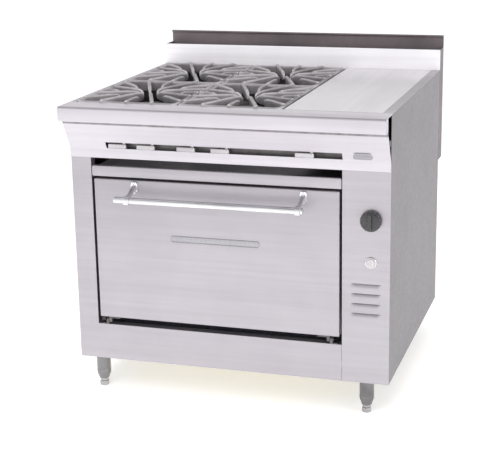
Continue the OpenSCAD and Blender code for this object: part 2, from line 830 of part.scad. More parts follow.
// Bezel and barrel that the pilot button slides in
module button_housing() {
    color("silver") from_front() translate([control_x, 0, button_z]) rotate([90, 0, 0]) difference() {
        union() {
            cylinder(h = 4, r = bezel_r);
            translate([0, 0, -30]) cylinder(h = 31, r = button_r + 2);
        }
        translate([0, 0, -26]) cylinder(h = 40, r = button_r + running_gap);
    }
}

module pilot_button() {
    color("whitesmoke") from_front() translate([control_x, 0, button_z]) rotate([90, 0, 0])
        translate([0, 0, -18]) cylinder(h = 18 + 5 + button_travel, r = button_r);
}

// ---- crumb tray ----

module crumb_tray() {
    t = tray_t;
    side_h = 22;
    color("silver") from_front() {
        difference() {
            block([tray_x0, tray_y0, tray_z0], [tray_x1, tray_y1, tray_z0 + side_h]);
            block([tray_x0 + t, tray_y0 + t, tray_z0 + t], [tray_x1 - t, tray_y1 - t, tray_z1]);
        }
        block([tray_x0, tray_y0, tray_z0], [tray_x1, tray_y0 + t, tray_z1]);
        block([tray_x0, tray_y0, tray_z1 - t], [tray_x1, tray_y0 + 12, tray_z1]);
    }
}

// ---- oven door ----

module door_panel() {
    t = sheet_t;
    color("gainsboro") from_front() difference() {
        block([door_x0, 0, door_z0], [door_x1, door_d, door_z1]);
        block([door_x0 + t, t, door_z0 + t], [door_x1 - t, door_d + 1, door_z1 - t]);
    }
}

module door_insulation() {
    t = sheet_t;
    color("khaki") from_front()
        block([door_x0 + t, t, door_z0 + t], [door_x1 - t, door_d, door_z1 - t]);
}

module door_liner() {
    color("dimgray") from_front()
        block([door_x0, door_d, door_z0], [door_x1, door_d + sheet_t, door_z1]);
}

// Woven seal round the oven's mouth, on the door's inner face
module door_gasket() {
    y0 = door_d + sheet_t;
    color("dimgray") from_front() difference() {
        block([cavity_x0 - 14, y0, mouth_z0 - 14], [cavity_x1 + 14, y0 + gasket_d, cavity_z1 + 14]);
        block([cavity_x0 - 4, y0 - 1, mouth_z0 - 4], [cavity_x1 + 4, y0 + gasket_d + 1, cavity_z1 + 4]);
    }
}

// Draws its children at the door's left edge, and mirrored at its right edge
module both_door_sides() {
    for (side = [0, 1])
        translate([side * (door_x0 + door_x1), 0, 0])
            mirror([side, 0, 0])
                translate([door_x0, 0, 0]) children();
}

// Hinge arm and pin under each end of the door
module door_hinges() {
    arm_x = cheek_in + cheek_t + 0.5;
    color("silver") from_front() both_door_sides() {
        rod([arm_x, hinge_y, hinge_z], [arm_x + 8, hinge_y, hinge_z], 7);
        block([arm_x, hinge_y - 7, hinge_z], [arm_x + 8, hinge_y + 7, door_z0]);
        block([arm_x, hinge_y - 7, door_z0 - 3], [arm_x + 34, hinge_y + 18, door_z0]);
        rod([cheek_in - 2, hinge_y, hinge_z], [arm_x + 1, hinge_y, hinge_z], hinge_r);
    }
}

// Cheeks on the kick panel's top flange that hold the hinge pins
module hinge_brackets() {
    color("silver") from_front() both_door_sides() difference() {
        union() {
            block([cheek_in, hinge_y - 8, kick_top], [cheek_in + cheek_t, hinge_y + 8, hinge_z]);
            rod([cheek_in, hinge_y, hinge_z], [cheek_in + cheek_t, hinge_y, hinge_z], 8);
            block([cheek_in - 14, hinge_y - 6, kick_top], [cheek_in + cheek_t, hinge_y + 16, kick_top + 2]);
        }
        rod([cheek_in - 1, hinge_y, hinge_z],
            [cheek_in + cheek_t + 1, hinge_y, hinge_z], hinge_r + running_gap);
    }
}

module handle_bar() {
    color("white") from_front()
        rod([handle_x[0], -handle_reach, handle_z], [handle_x[1], -handle_reach, handle_z], handle_r);
}

// Draws its children at the left bracket, and mirrored at the right one
module both_handle_ends() {
    for (side = [0, 1])
        translate([side * (handle_x[0] + handle_x[1]), 0, 0]) mirror([side, 0, 0])
            translate([handle_x[0] + bracket_in[side], 0, 0]) children();
}

// Cast arms that hold the bar out from the door, bolted on above it
module handle_brackets() {
    boss_r = handle_r + 4.5;
    color("white") from_front() both_handle_ends() difference() {
        union() {
            rod([0, -handle_reach, handle_z], [bracket_w, -handle_reach, handle_z], boss_r);
            pulled_x(0, bracket_w) polygon([
                [-handle_reach - 4, handle_z + 10],
                [-handle_reach + 12, handle_z - 7],
                [-4, foot_z - 5],
                [-4, foot_z + 5],
                [-12, foot_z + 3]]);
            block([-3, -6, foot_z - 18], [bracket_w + 3, 0, foot_z + 18]);
        }
        rod([-1, -handle_reach, handle_z], [bracket_w + 1, -handle_reach, handle_z], handle_r);
    }
}

module handle_screws() {
    color("silver") from_front() both_handle_ends() for (z = [foot_z - 13.5, foot_z + 13])
        translate([bracket_w / 2, -6, z]) rotate([90, 0, 0]) cylinder(h = 2.5, r = screw_r);
}

// Plain plate with round ends
module nameplate() {
    reach = nameplate_l / 2 - nameplate_r;
    color("silver") from_front() translate([door_cx, 0, plate_z]) rotate([90, 0, 0]) linear_extrude(2) {
        square([2 * reach, 2 * nameplate_r], center = true);
        for (x = [-reach, reach]) translate([x, 0]) circle(r = nameplate_r);
    }
}

base_frame();
front_casing();
control_panel();
left_side_panel();
right_side_panel();
back_panel();
oven_liner();
oven_insulation();
oven_deck();
oven_burner();
oven_gas_line();
rack_guides();
oven_rack();
top_frame();
front_rail();
rail_brackets();
rail_badge();
gas_manifold();
gas_inlet();
gas_valves();
valve_lever_1();
valve_lever_2();
valve_lever_3();
valve_lever_4();
valve_lever_5();
burner_front_left();
burner_rear_left();
burner_rear_right();
burner_front_right();
plate_burner();
grate_front_left();
grate_rear_left();
grate_rear_right();
grate_front_right();
hot_plate();
top_trim_left();
top_trim_right();
riser_front();
riser_back();
legs();
foot_front_left();
foot_front_right();
foot_rear_left();
foot_rear_right();
thermostat_body();
thermostat_knob();
button_housing();
pilot_button();
crumb_tray();
door_panel();
door_liner();
door_insulation();
door_gasket();
door_hinges();
hinge_brackets();
handle_bar();
handle_brackets();
handle_screws();
nameplate();
casing_screws();
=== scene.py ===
"""The looks of a commercial gas range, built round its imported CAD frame. Lengths are in metres."""

import json
import math

import bmesh
import bpy
from mathutils import Matrix, Vector


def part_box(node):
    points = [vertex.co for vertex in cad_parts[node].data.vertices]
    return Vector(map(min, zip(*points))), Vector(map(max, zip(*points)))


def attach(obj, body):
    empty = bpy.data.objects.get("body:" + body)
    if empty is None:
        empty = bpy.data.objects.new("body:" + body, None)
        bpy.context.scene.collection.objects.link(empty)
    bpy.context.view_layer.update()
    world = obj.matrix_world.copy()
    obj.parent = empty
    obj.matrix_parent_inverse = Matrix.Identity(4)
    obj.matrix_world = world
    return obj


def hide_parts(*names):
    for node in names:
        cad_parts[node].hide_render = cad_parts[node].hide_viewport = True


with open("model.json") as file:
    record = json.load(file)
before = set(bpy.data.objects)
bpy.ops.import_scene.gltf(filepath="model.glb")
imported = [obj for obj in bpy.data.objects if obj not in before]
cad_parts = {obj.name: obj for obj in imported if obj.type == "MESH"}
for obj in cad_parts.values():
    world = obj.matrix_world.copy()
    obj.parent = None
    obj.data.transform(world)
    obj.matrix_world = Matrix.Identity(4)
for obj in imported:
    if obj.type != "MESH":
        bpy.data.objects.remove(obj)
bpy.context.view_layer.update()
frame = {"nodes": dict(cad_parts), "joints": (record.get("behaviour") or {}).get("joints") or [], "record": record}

SLOT_OF = {part["node"]: part["material_slot"] for part in frame["record"]["subparts"]}
BODY_OF = {node: body for body, nodes in frame["record"]["behaviour"]["bodies"].items() for node in nodes}

# Sheet and fold sizes of the casing
SHEET = 0.0015
FOLD = 0.003

# The front rail, counted from its top and bottom edges
BAND_H = 0.041
LIP_H = 0.028
LIP_BACK = 0.071
RAIL_SHEET = 0.002
NOSE_FOLD = 0.007
NOSE_BACK = 0.026
NOSE_DEEP = 0.028
# Height of the painted shade strip on the slope under the nose band
SHADE_BAND_H = 0.0125
SLOT_UNDER_LEVER = 0.0025
SLOT_H = 0.019
SLOT_LEFT = 0.112
SLOT_RIGHT = 0.129

# Grates
FINGERS = 16
FINGER_W = 0.012
FINGER_LONG = 0.028
FINGER_SHORT = 0.092
GRATE_BAR = 0.013


# ---- materials ----

def wire(tree, kind, inputs=None, **settings):
    """Adds a node, sets its settings, and links or sets its inputs."""
    made = tree.nodes.new(kind)
    for key, value in settings.items():
        setattr(made, key, value)
    for key, value in (inputs or {}).items():
        if isinstance(value, bpy.types.NodeSocket):
            tree.links.new(value, made.inputs[key])
        else:
            made.inputs[key].default_value = value
    return made


def remap(value, low, high, to_low=0.0, to_high=1.0):
    """Maps a value's range to another one."""
    made = wire(value.id_data, "ShaderNodeMapRange", {0: value, 1: low, 2: high, 3: to_low, 4: to_high})
    return made.outputs[0]


def noise(coords, scale, detail=4.0, rough=0.6, stretch=(1, 1, 1)):
    """A noise value in the object's own space, stretched along its axes."""
    mapped = wire(coords.id_data, "ShaderNodeMapping", {"Vector": coords, "Scale": stretch}).outputs[0]
    inputs = {"Vector": mapped, "Scale": scale, "Detail": detail, "Roughness": rough}
    return wire(coords.id_data, "ShaderNodeTexNoise", inputs).outputs["Fac"]


def blend_colours(factor, first, second):
    """Mixes two colours, each given as red, green and blue or as another node's output."""
    first, second = (c if isinstance(c, bpy.types.NodeSocket) else (*c, 1) for c in (first, second))
    made = wire(factor.id_data, "ShaderNodeMix", {0: factor, 6: first, 7: second}, data_type="RGBA")
    return made.outputs[2]


def combine(operation, first, second):
    """Adds or multiplies two values."""
    return wire(first.id_data, "ShaderNodeMath", {0: first, 1: second}, operation=operation).outputs[0]


def start_material(name):
    """A new material, its shader and the object's own coordinates."""
    made = bpy.data.materials.new(name)
    made.use_nodes = True
    shader = made.node_tree.nodes["Principled BSDF"]
    coords = wire(made.node_tree, "ShaderNodeTexCoord").outputs["Object"]
    return made, shader, coords


def colour_by(shader, factor, first, second):
    shader.id_data.links.new(blend_colours(factor, first, second), shader.inputs["Base Color"])


def roughness_by(shader, value, low, high, rough):
    shader.id_data.links.new(remap(value, low, high, *rough), shader.inputs["Roughness"])


def join_bump(shader, height, strength, distance):
    tree = shader.id_data
    bump = wire(tree, "ShaderNodeBump", {"Height": height, "Strength": strength, "Distance": distance})
    tree.links.new(bump.outputs[0], shader.inputs["Normal"])


def brushed(name, colour, shade, stretch, rough, metallic=1.0, bump=0.25, stain=0.5):
    """Brushed sheet: fine scratches along one axis, soft blotches, and a few worn streaks."""
    made, shader, coords = start_material(name)
    scratch = noise(coords, 60.0, 3.0, 0.65, stretch)
    streak = noise(coords, 9.0, 2.0, 0.5, [s ** 0.6 for s in stretch])
    blotch = noise(coords, 5.5, 4.0, 0.55)
    smudge = noise(coords, 26.0, 5.0, 0.6)
    tone = combine("ADD", scratch, blotch)
    colour_by(shader, remap(tone, 0.75, 1.3, 0.0, stain), colour, shade)
    grain = combine("ADD", scratch, combine("MULTIPLY", streak, smudge))
    roughness_by(shader, grain, 0.45, 1.0, rough)
    shader.inputs["Metallic"].default_value = metallic
    join_bump(shader, scratch, bump, 0.0002)
    return made


def painted(name, colour, shade, rough, metallic=0.0):
    """Sprayed finish with a faint orange peel and soft, uneven wear."""
    made, shader, coords = start_material(name)
    peel = noise(coords, 420.0, 2.0, 0.5)
    blotch = noise(coords, 7.0, 5.0, 0.6)
    specks = noise(coords, 95.0, 6.0, 0.7)
    colour_by(shader, remap(blotch, 0.35, 0.68), colour, shade)
    roughness_by(shader, specks, 0.3, 0.72, rough)
    shader.inputs["Metallic"].default_value = metallic
    join_bump(shader, peel, 0.2, 0.0003)
    return made


def cast(name, colour, shade, worn):
    """Cast iron: pitted skin, sooty patches, and convex edges lightened, partly real wear and partly a painted
    highlight.
    """
    made, shader, coords = start_material(name)
    pits = noise(coords, 380.0, 6.0, 0.7)
    lumps = noise(coords, 60.0)
    soot = noise(coords, 11.0)
    skin = blend_colours(remap(soot, 0.35, 0.65), colour, shade)
    geometry = wire(made.node_tree, "ShaderNodeNewGeometry")
    edge = remap(geometry.outputs["Pointiness"], 0.51, 0.56)
    edge_wear_and_highlight = combine("MULTIPLY", edge, remap(lumps, 0.3, 0.6, 0.35, 1.0))
    # Convex edges mixed towards the third colour: partly real wear, partly painted highlight.
    colour_by(shader, edge_wear_and_highlight, skin, worn)
    roughness_by(shader, pits, 0.3, 0.7, (0.45, 0.7))
    shader.inputs["Metallic"].default_value = 0.55
    join_bump(shader, combine("ADD", pits, lumps), 0.6, 0.0005)
    return made


def plated(name, colour, shade, rough=(0.08, 0.2)):
    """Chrome or nickel with wiped smears."""
    made, shader, coords = start_material(name)
    smear = noise(coords, 45.0, 5.0, 0.6, (1, 1, 0.4))
    haze = noise(coords, 9.0, 3.0, 0.5)
    colour_by(shader, remap(haze, 0.4, 0.65), colour, shade)
    roughness_by(shader, smear, 0.35, 0.65, rough)
    shader.inputs["Metallic"].default_value = 1.0
    join_bump(shader, smear, 0.06, 0.0002)
    return made


def moulded(name, colour, shade, rough=(0.18, 0.34)):
    """Moulded plastic with a soft sheen and fine handling marks."""
    made, shader, coords = start_material(name)
    marks = noise(coords, 300.0, 5.0, 0.65)
    flow = noise(coords, 30.0, 3.0, 0.5)
    colour_by(shader, remap(flow, 0.35, 0.65), colour, shade)
    roughness_by(shader, marks, 0.35, 0.7, rough)
    join_bump(shader, marks, 0.1, 0.0002)
    return made


def fibrous(name, colour, shade, scale=140.0, bump=0.9):
    """Mineral wool or woven glass cord: tangled fibres, matt."""
    made, shader, coords = start_material(name)
    fibres = noise(coords, scale, 8.0, 0.75, (1, 1, 3))
    colour_by(shader, remap(fibres, 0.35, 0.65), colour, shade)
    shader.inputs["Roughness"].default_value = 0.9
    join_bump(shader, fibres, bump, 0.002)
    return made


def speckled(name, colour, speck):
    """Vitreous enamel with pale specks."""
    made, shader, coords = start_material(name)
    cells = wire(made.node_tree, "ShaderNodeTexVoronoi", {"Vector": coords, "Scale": 330.0})
    spots = remap(cells.outputs["Distance"], 0.1, 0.2, 1.0, 0.0)
    colour_by(shader, spots, colour, speck)
    waves = noise(coords, 24.0)
    roughness_by(shader, waves, 0.35, 0.65, (0.12, 0.3))
    join_bump(shader, waves, 0.1, 0.002)
    return made


ALONG_X = (0.03, 1.4, 1.4)
ALONG_Y = (1.4, 0.03, 1.4)

# Each slot's kind of surface, its colour, its second colour, and the numbers that its maker takes
LOOKS = {
    "stainless_front": (brushed, (0.49, 0.462, 0.495), (0.415, 0.39, 0.42), ALONG_X, (0.32, 0.46), 0.9),
    # riser_sheet: stainless made near-white and partly diffuse, far lighter than the front steel: painted light on
    # the riser front.
    "riser_sheet": (brushed, (0.93, 0.91, 0.94), (0.82, 0.79, 0.83), ALONG_X, (0.3, 0.5), 0.35, 0.15, 0.8),
    "grey_side": (painted, (0.195, 0.178, 0.194), (0.168, 0.155, 0.167), (0.4, 0.55)),
    "plate_steel": (brushed, (0.80, 0.78, 0.80), (0.66, 0.64, 0.66), ALONG_Y, (0.3, 0.44), 0.9, 0.04, 0.22),
    # The third colour of cast_iron and burner_iron lightens convex edges: partly real wear, partly painted
    # highlight.
    "cast_iron": (cast, (0.46, 0.43, 0.45), (0.27, 0.25, 0.26), (0.95, 0.93, 0.94)),
    "burner_iron": (cast, (0.10, 0.095, 0.095), (0.055, 0.05, 0.05), (0.22, 0.21, 0.2)),
    "dark_flue": (painted, (0.18, 0.15, 0.16), (0.125, 0.105, 0.11), (0.35, 0.55), 0.3),
    "galvanised": (brushed, (0.22, 0.205, 0.205), (0.14, 0.13, 0.13), (1, 1, 1), (0.4, 0.6), 0.9, 0.3, 0.9),
    "oven_enamel": (speckled, (0.035, 0.035, 0.045), (0.35, 0.35, 0.38)),
    "blanket": (fibrous, (0.60, 0.53, 0.33), (0.42, 0.36, 0.2)),
    "chrome": (plated, (0.86, 0.86, 0.88), (0.74, 0.73, 0.75)),
    # leg_steel: chrome given a dark colour that stands for the dark underside the legs reflect: painted shade.
    "leg_steel": (plated, (0.26, 0.255, 0.26), (0.17, 0.165, 0.17), (0.14, 0.3)),
    "black_pipe": (painted, (0.05, 0.05, 0.052), (0.03, 0.028, 0.026), (0.4, 0.6), 0.3),
    "brass": (plated, (0.66, 0.48, 0.2), (0.44, 0.31, 0.12), (0.2, 0.4)),
    "lever_metal": (plated, (0.60, 0.58, 0.60), (0.48, 0.46, 0.48), (0.26, 0.4)),
    "seal": (fibrous, (0.2, 0.2, 0.2), (0.1, 0.1, 0.1), 420.0, 0.8),
    "knob_black": (moulded, (0.038, 0.036, 0.039), (0.055, 0.053, 0.055)),
    "control_metal": (painted, (0.25, 0.25, 0.26), (0.17, 0.17, 0.18), (0.3, 0.5), 0.5),
    "button_plastic": (moulded, (0.62, 0.60, 0.61), (0.52, 0.5, 0.51), (0.25, 0.4)),
    "plate_trim": (brushed, (0.44, 0.43, 0.45), (0.33, 0.32, 0.34), ALONG_X, (0.3, 0.45)),
}
MATERIALS = {slot: make(slot, *numbers) for slot, (make, *numbers) in LOOKS.items()}


# ---- mesh building ----

def block(bm, low, high):
    """A box between two corners."""
    xs, ys, zs = zip(low, high)
    verts = [bm.verts.new((x, y, z)) for x in xs for y in ys for z in zs]
    for face in ((0, 1, 3, 2), (4, 6, 7, 5), (0, 4, 5, 1), (2, 3, 7, 6), (0, 2, 6, 4), (1, 5, 7, 3)):
        bm.faces.new([verts[i] for i in face])


def join_rings(bm, low, high):
    """Faces between two rings of the same length, or between a ring and a tip."""
    count = max(len(low), len(high))
    for i in range(count):
        j = (i + 1) % count
        if len(low) == 1:
            bm.faces.new((low[0], high[j], high[i]))
        elif len(high) == 1:
            bm.faces.new((low[i], low[j], high[0]))
        else:
            bm.faces.new((low[i], low[j], high[j], high[i]))


def loft(bm, rings):
    """A closed solid through rings of points."""
    made = [[bm.verts.new(p) for p in ring] for ring in rings]
    for low, high in zip(made, made[1:]):
        join_rings(bm, low, high)
    for ring in (made[0], made[-1]):
        if len(ring) > 2:
            bm.faces.new(ring)


def turns(steps):
    """Equal angles round a circle."""
    return [2 * math.pi * k / steps for k in range(steps)]


def lathe(bm, profile, at, axis=(0, 0, 1), steps=48, wave=None):
    """Turns (radius, height) points round an axis through a point. wave changes the radius with the angle."""
    turn = Vector(axis).to_track_quat("Z", "Y").to_matrix()
    rings = []
    for row, (radius, height) in enumerate(profile):
        if radius < 1e-6:
            rings.append([Vector(at) + turn @ Vector((0, 0, height))])
            continue
        ring = []
        for a in turns(steps):
            r = wave(row, a, radius) if wave else radius
            ring.append(Vector(at) + turn @ Vector((r * math.cos(a), r * math.sin(a), height)))
        rings.append(ring)
    loft(bm, rings)


def mix(a, b, t):
    return a + (b - a) * t


def corners_of(x0, z0, x1, z1):
    """The corners of a rectangle, in order round it."""
    return [(x0, z0), (x1, z0), (x1, z1), (x0, z1)]


def at_depth(outline, y):
    """An outline of X and Z set at one Y."""
    return [(x, y, z) for x, z in outline]


def rounded(corners, radius, steps=4):
    """A closed outline in 2D with round corners."""
    points = []
    for before, at, after in zip(corners[-1:] + corners[:-1], corners, corners[1:] + corners[:1]):
        points += fillet(Vector(before), Vector(at), Vector(after), radius, steps)
    return [p for p, _ in points]


def fillet(before, at, after, radius, steps):
    """Points and directions along a round bend between two straight stretches."""
    back, ahead = (before - at).normalized(), (after - at).normalized()
    angle = back.angle(ahead)
    if radius < 1e-6 or angle > math.pi - 0.01:
        return [(at, (ahead - back).normalized())]
    reach = min(radius / math.tan(angle / 2), 0.49 * (before - at).length, 0.49 * (after - at).length)
    radius = reach * math.tan(angle / 2)
    centre = at + (back + ahead).normalized() * (radius / math.sin(angle / 2))
    start, end = at + back * reach - centre, at + ahead * reach - centre
    sweep = start.angle(end)
    made = []
    for k in range(steps + 1):
        t = k / steps
        arm = (start * math.sin((1 - t) * sweep) + end * math.sin(t * sweep)) / math.sin(sweep)
        along = (-back).lerp(ahead, t).normalized()
        made.append((centre + arm, along))
    return made


def folded(path, thickness, radius, steps=4):
    """Pairs of points across a folded sheet. The path is its outer face, and the sheet lies to its left."""
    radii = radius if isinstance(radius, (list, tuple)) else [radius] * (len(path) - 2)
    path = [Vector(p) for p in path]
    line = [(path[0], (path[1] - path[0]).normalized())]
    for before, at, after, r in zip(path, path[1:], path[2:], radii):
        line += fillet(before, at, after, r, steps)
    line.append((path[-1], (path[-1] - path[-2]).normalized()))
    return [(p, p + Vector((-d.y, d.x)) * thickness) for p, d in line]


def in_yz(x, point):
    return (x, point[0], point[1])


def in_xy(z, point):
    return (point[0], point[1], z)


def shell(bm, pairs, stations, place, missing=()):
    """A sheet of pairs along one way and stations along the other, without the cells in missing."""
    cells = {(i, j) for i in range(len(pairs) - 1) for j in range(len(stations) - 1)} - set(missing)
    grid = {}

    def corner(side, i, j):
        key = (side, i, j)
        if key not in grid:
            grid[key] = bm.verts.new(place(stations[j], pairs[i][side]))
        return grid[key]

    for i, j in sorted(cells):
        ring = [(i, j), (i + 1, j), (i + 1, j + 1), (i, j + 1)]
        bm.faces.new([corner(0, *c) for c in ring])
        bm.faces.new([corner(1, *c) for c in reversed(ring)])
        for (a, b), beside in zip(zip(ring, ring[1:] + ring[:1]),
                                  ((i, j - 1), (i + 1, j), (i, j + 1), (i - 1, j))):
            if beside not in cells:
                bm.faces.new((corner(0, *a), corner(1, *a), corner(1, *b), corner(0, *b)))


def flat_pairs(values, face, thickness):
    """Pairs for a flat sheet: its outer face at one depth and its inner face behind it."""
    return [(Vector((face, v)), Vector((face + thickness, v))) for v in values]


def prism(bm, outline, place, low, high):
    """An outline pulled from one station to another."""
    loft(bm, [[Vector(place(low, p)) for p in outline], [Vector(place(high, p)) for p in outline]])


def tube(bm, path, radius, steps=20, cap=0.0):
    """A round bar through points, its ends softened by cap."""
    path = [Vector(p) for p in path]
    places = []
    side = None
    for before, at, after in zip(path[:1] + path, path, path[1:] + path[-1:]):
        ahead = (after - before).normalized()
        side = ahead.orthogonal() if side is None else side - ahead * side.dot(ahead)
        side.normalize()
        places.append((at, ahead, side, ahead.cross(side)))

    def ring(place, r, shift):
        at, ahead, side, up = place
        return [at + ahead * shift + (side * math.cos(a) + up * math.sin(a)) * r for a in turns(steps)]

    eased = [(radius - cap, 0), (radius - cap * 0.3, cap * 0.3)] if cap else []
    eased.append((radius, cap))
    made = [ring(places[0], r, shift) for r, shift in eased]
    made += [ring(place, radius, 0) for place in places[1:-1]]
    made += [ring(places[-1], r, -shift) for r, shift in reversed(eased)]
    loft(bm, made)


def bend_path(points, radius, steps=6):
    """A path through points, with round bends."""
    points = [Vector(p) for p in points]
    made = [points[0]]
    for before, at, after in zip(points, points[1:], points[2:]):
        made += [p for p, _ in fillet(before, at, after, radius, steps)]
    return made + [points[-1]]


def soften(piece, width, steps=2, angle=32):
    """Rounds a piece's sharp edges."""
    bevel = piece.modifiers.new("soft_edges", "BEVEL")
    bevel.width = width
    bevel.segments = steps
    bevel.limit_method = "ANGLE"
    bevel.angle_limit = math.radians(angle)
    bevel.harden_normals = True
    bevel.miter_outer = "MITER_ARC"


def add_object(name, data):
    made = bpy.data.objects.new(name, data)
    bpy.context.scene.collection.objects.link(made)
    return made


def mesh_from(name, bm):
    mesh = bpy.data.meshes.new(name)
    bm.to_mesh(mesh)
    bm.free()
    return mesh


def make_piece(name, bm, slot, body, stands_for=(), edge=0.0, edge_steps=2, angle=32):
    """Turns a mesh under construction into a piece that rides on a body."""
    bmesh.ops.recalc_face_normals(bm, faces=bm.faces)
    mesh = mesh_from(name, bm)
    mesh.shade_smooth()
    mesh.set_sharp_from_angle(angle=math.radians(angle))
    piece = add_object(name, mesh)
    mesh.materials.append(MATERIALS[slot])
    if edge:
        soften(piece, edge, edge_steps, angle)
    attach(piece, body)
    if stands_for:
        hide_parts(*stands_for)
    return piece


def replace_node(node, bm, edge=0.0, edge_steps=2, angle=32):
    """A detailed piece that stands for one CAD node, with its body and slot."""
    return make_piece(node + "_shape", bm, SLOT_OF[node], BODY_OF[node], [node], edge, edge_steps, angle)


def middle(node):
    low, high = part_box(node)
    return (low + high) / 2


def joint_at(node):
    """Where the joint of a node's body is."""
    return Vector(next(j for j in frame["joints"] if j["child"] == node)["pos_m"])


# ---- casing ----

BODY_LEFT, FRONT_Y, BODY_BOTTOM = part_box("front_casing")[0]
OPEN_RIGHT, FLANGE_BACK, CASING_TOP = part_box("front_casing")[1]
BODY_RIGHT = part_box("control_panel")[1].x
DECK_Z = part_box("front_rail")[1].z
RAIL_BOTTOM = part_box("front_rail")[0].z
TRAY_LOW, TRAY_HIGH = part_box("crumb_tray")
OPEN_LEFT = TRAY_LOW.x - SHEET
KICK_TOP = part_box("hinge_brackets")[0].z
OVER_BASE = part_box("base_frame")[1].z + 0.002


def front_casing():
    """The left stile and the kick panel, one sheet round the door opening."""
    bm = bmesh.new()
    xs = [BODY_LEFT, OPEN_LEFT - SHEET, OPEN_LEFT, OPEN_RIGHT]
    zs = [BODY_BOTTOM, KICK_TOP - SHEET, KICK_TOP, CASING_TOP]
    shell(bm, flat_pairs(zs, FRONT_Y, SHEET), xs, in_yz, [(2, 2)])
    block(bm, (OPEN_LEFT - SHEET, FRONT_Y + SHEET, KICK_TOP - SHEET), (OPEN_LEFT, FLANGE_BACK, RAIL_BOTTOM))
    block(bm, (OPEN_LEFT, FRONT_Y + SHEET, KICK_TOP - SHEET), (OPEN_RIGHT, FLANGE_BACK, KICK_TOP))
    replace_node("front_casing", bm, 0.0007)


LOUVRES = 4
LOUVRE_LEFT = 0.026
LOUVRE_W = 0.082
LOUVRE_TOP_Z = 0.380
LOUVRE_PITCH = 0.028
LOUVRE_UP = 0.008
LOUVRE_DOWN = 0.003
LOUVRE_DEPTH = 0.0058
LOUVRE_SHEET = 0.0012
LOUVRE_ROUND_END = 0.012
LOUVRE_LAP_SIDE = 0.004
LOUVRE_LAP_TOP = 0.003
LOUVRE_COLUMNS = 28
LOUVRE_ROWS = 7


def louvre(bm, low, width, top):
    """A pressed hood, open below, that runs out to nothing at its round ends."""
    outer, inner = [], []
    for i in range(LOUVRE_COLUMNS + 1):
        x = low.x + i / LOUVRE_COLUMNS * width
        end = min(i, LOUVRE_COLUMNS - i) / LOUVRE_COLUMNS * width / LOUVRE_ROUND_END
        swell = LOUVRE_DEPTH * math.sin(min(1.0, end) * math.pi / 2) ** 0.7
        outer.append([])
        inner.append([])
        for j in range(LOUVRE_ROWS + 1):
            a = j / LOUVRE_ROWS * math.pi / 2
            y = low.y - swell * math.sin(a) ** 0.8
            z = top - (top - low.z) * (1 - math.cos(a)) ** 0.6
            outer[-1].append(bm.verts.new((x, y, z)))
            y_inside = min(y + LOUVRE_SHEET, low.y)
            inner[-1].append(bm.verts.new((x, y_inside, z - LOUVRE_SHEET * math.cos(a))))
    for i in range(LOUVRE_COLUMNS):
        for j in range(LOUVRE_ROWS):
            for grid, way in ((outer, 1), (inner, -1)):
                quad = [grid[i][j], grid[i + 1][j], grid[i + 1][j + 1], grid[i][j + 1]]
                bm.faces.new(quad[::way])
        bm.faces.new((outer[i][-1], outer[i + 1][-1], inner[i + 1][-1], inner[i][-1]))
        bm.faces.new((outer[i + 1][0], outer[i][0], inner[i][0], inner[i + 1][0]))
    for i in (0, LOUVRE_COLUMNS):
        for j in range(LOUVRE_ROWS):
            bm.faces.new((outer[i][j], outer[i][j + 1], inner[i][j + 1], inner[i][j]))


def control_panel():
    """The panel with the louvres, folded back along the door opening."""
    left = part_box("control_panel")[0].x
    first_x = OPEN_RIGHT + LOUVRE_LEFT
    last_x = first_x + LOUVRE_W
    heights = [LOUVRE_TOP_Z - k * LOUVRE_PITCH for k in range(LOUVRES)]
    xs = [left, left + SHEET, first_x + LOUVRE_LAP_SIDE, last_x - LOUVRE_LAP_SIDE, BODY_RIGHT]
    zs = [BODY_BOTTOM]
    slits = []
    for z in reversed(heights):
        slits.append((len(zs), 2))
        zs += [z - LOUVRE_DOWN, z + LOUVRE_UP - LOUVRE_LAP_TOP]
    zs.append(CASING_TOP)
    bm = bmesh.new()
    shell(bm, flat_pairs(zs, FRONT_Y, SHEET), xs, in_yz, slits)
    block(bm, (left, FRONT_Y + SHEET, OVER_BASE), (left + SHEET, FLANGE_BACK, RAIL_BOTTOM))
    replace_node("control_panel", bm, 0.0007)
    hoods = bmesh.new()
    for z in heights:
        louvre(hoods, Vector((first_x, FRONT_Y, z - LOUVRE_DOWN)), LOUVRE_W, z + LOUVRE_UP)
    make_piece("louvre_hoods", hoods, "stainless_front", "root", angle=50)


def side_panel(node, side):
    """A side sheet with folded top and back edges."""
    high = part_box(node)[1]
    outer = BODY_RIGHT if side > 0 else BODY_LEFT
    flange_x = outer - side * 0.012
    bm = bmesh.new()
    path = [(outer, FRONT_Y + SHEET), (outer, high.y), (outer - side * 0.02, high.y)]
    pairs = folded(path, side * SHEET, FOLD)
    cut_away = [(i, 0) for i in range(len(pairs) - 4, len(pairs) - 1)]
    shell(bm, pairs, [BODY_BOTTOM, OVER_BASE, high.z - SHEET], in_xy, cut_away)
    block(bm, (min(outer, flange_x), FRONT_Y + 0.014, high.z - SHEET),
          (max(outer, flange_x), high.y - SHEET - FOLD, high.z))
    replace_node(node, bm, 0.0006)


VENT_X = (-0.186, 0.113)
VENT_Z = (0.590, 0.610)
GAS_HOLE_R = 0.0155


def back_panel():
    """The back sheet, with its gas hole and flue vent."""
    low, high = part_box("back_panel")
    gas_x, gas_z = middle("gas_inlet").x, frame_mount("gas_inlet")[2]
    bm = bmesh.new()
    xs = [low.x, *VENT_X, gas_x - GAS_HOLE_R, gas_x + GAS_HOLE_R, high.x]
    zs = [low.z, gas_z - GAS_HOLE_R, gas_z + GAS_HOLE_R, *VENT_Z, high.z]
    shell(bm, flat_pairs(zs, low.y, high.y - low.y), xs, in_yz, [(1, 3), (3, 1)])
    replace_node("back_panel", bm, 0.0005)


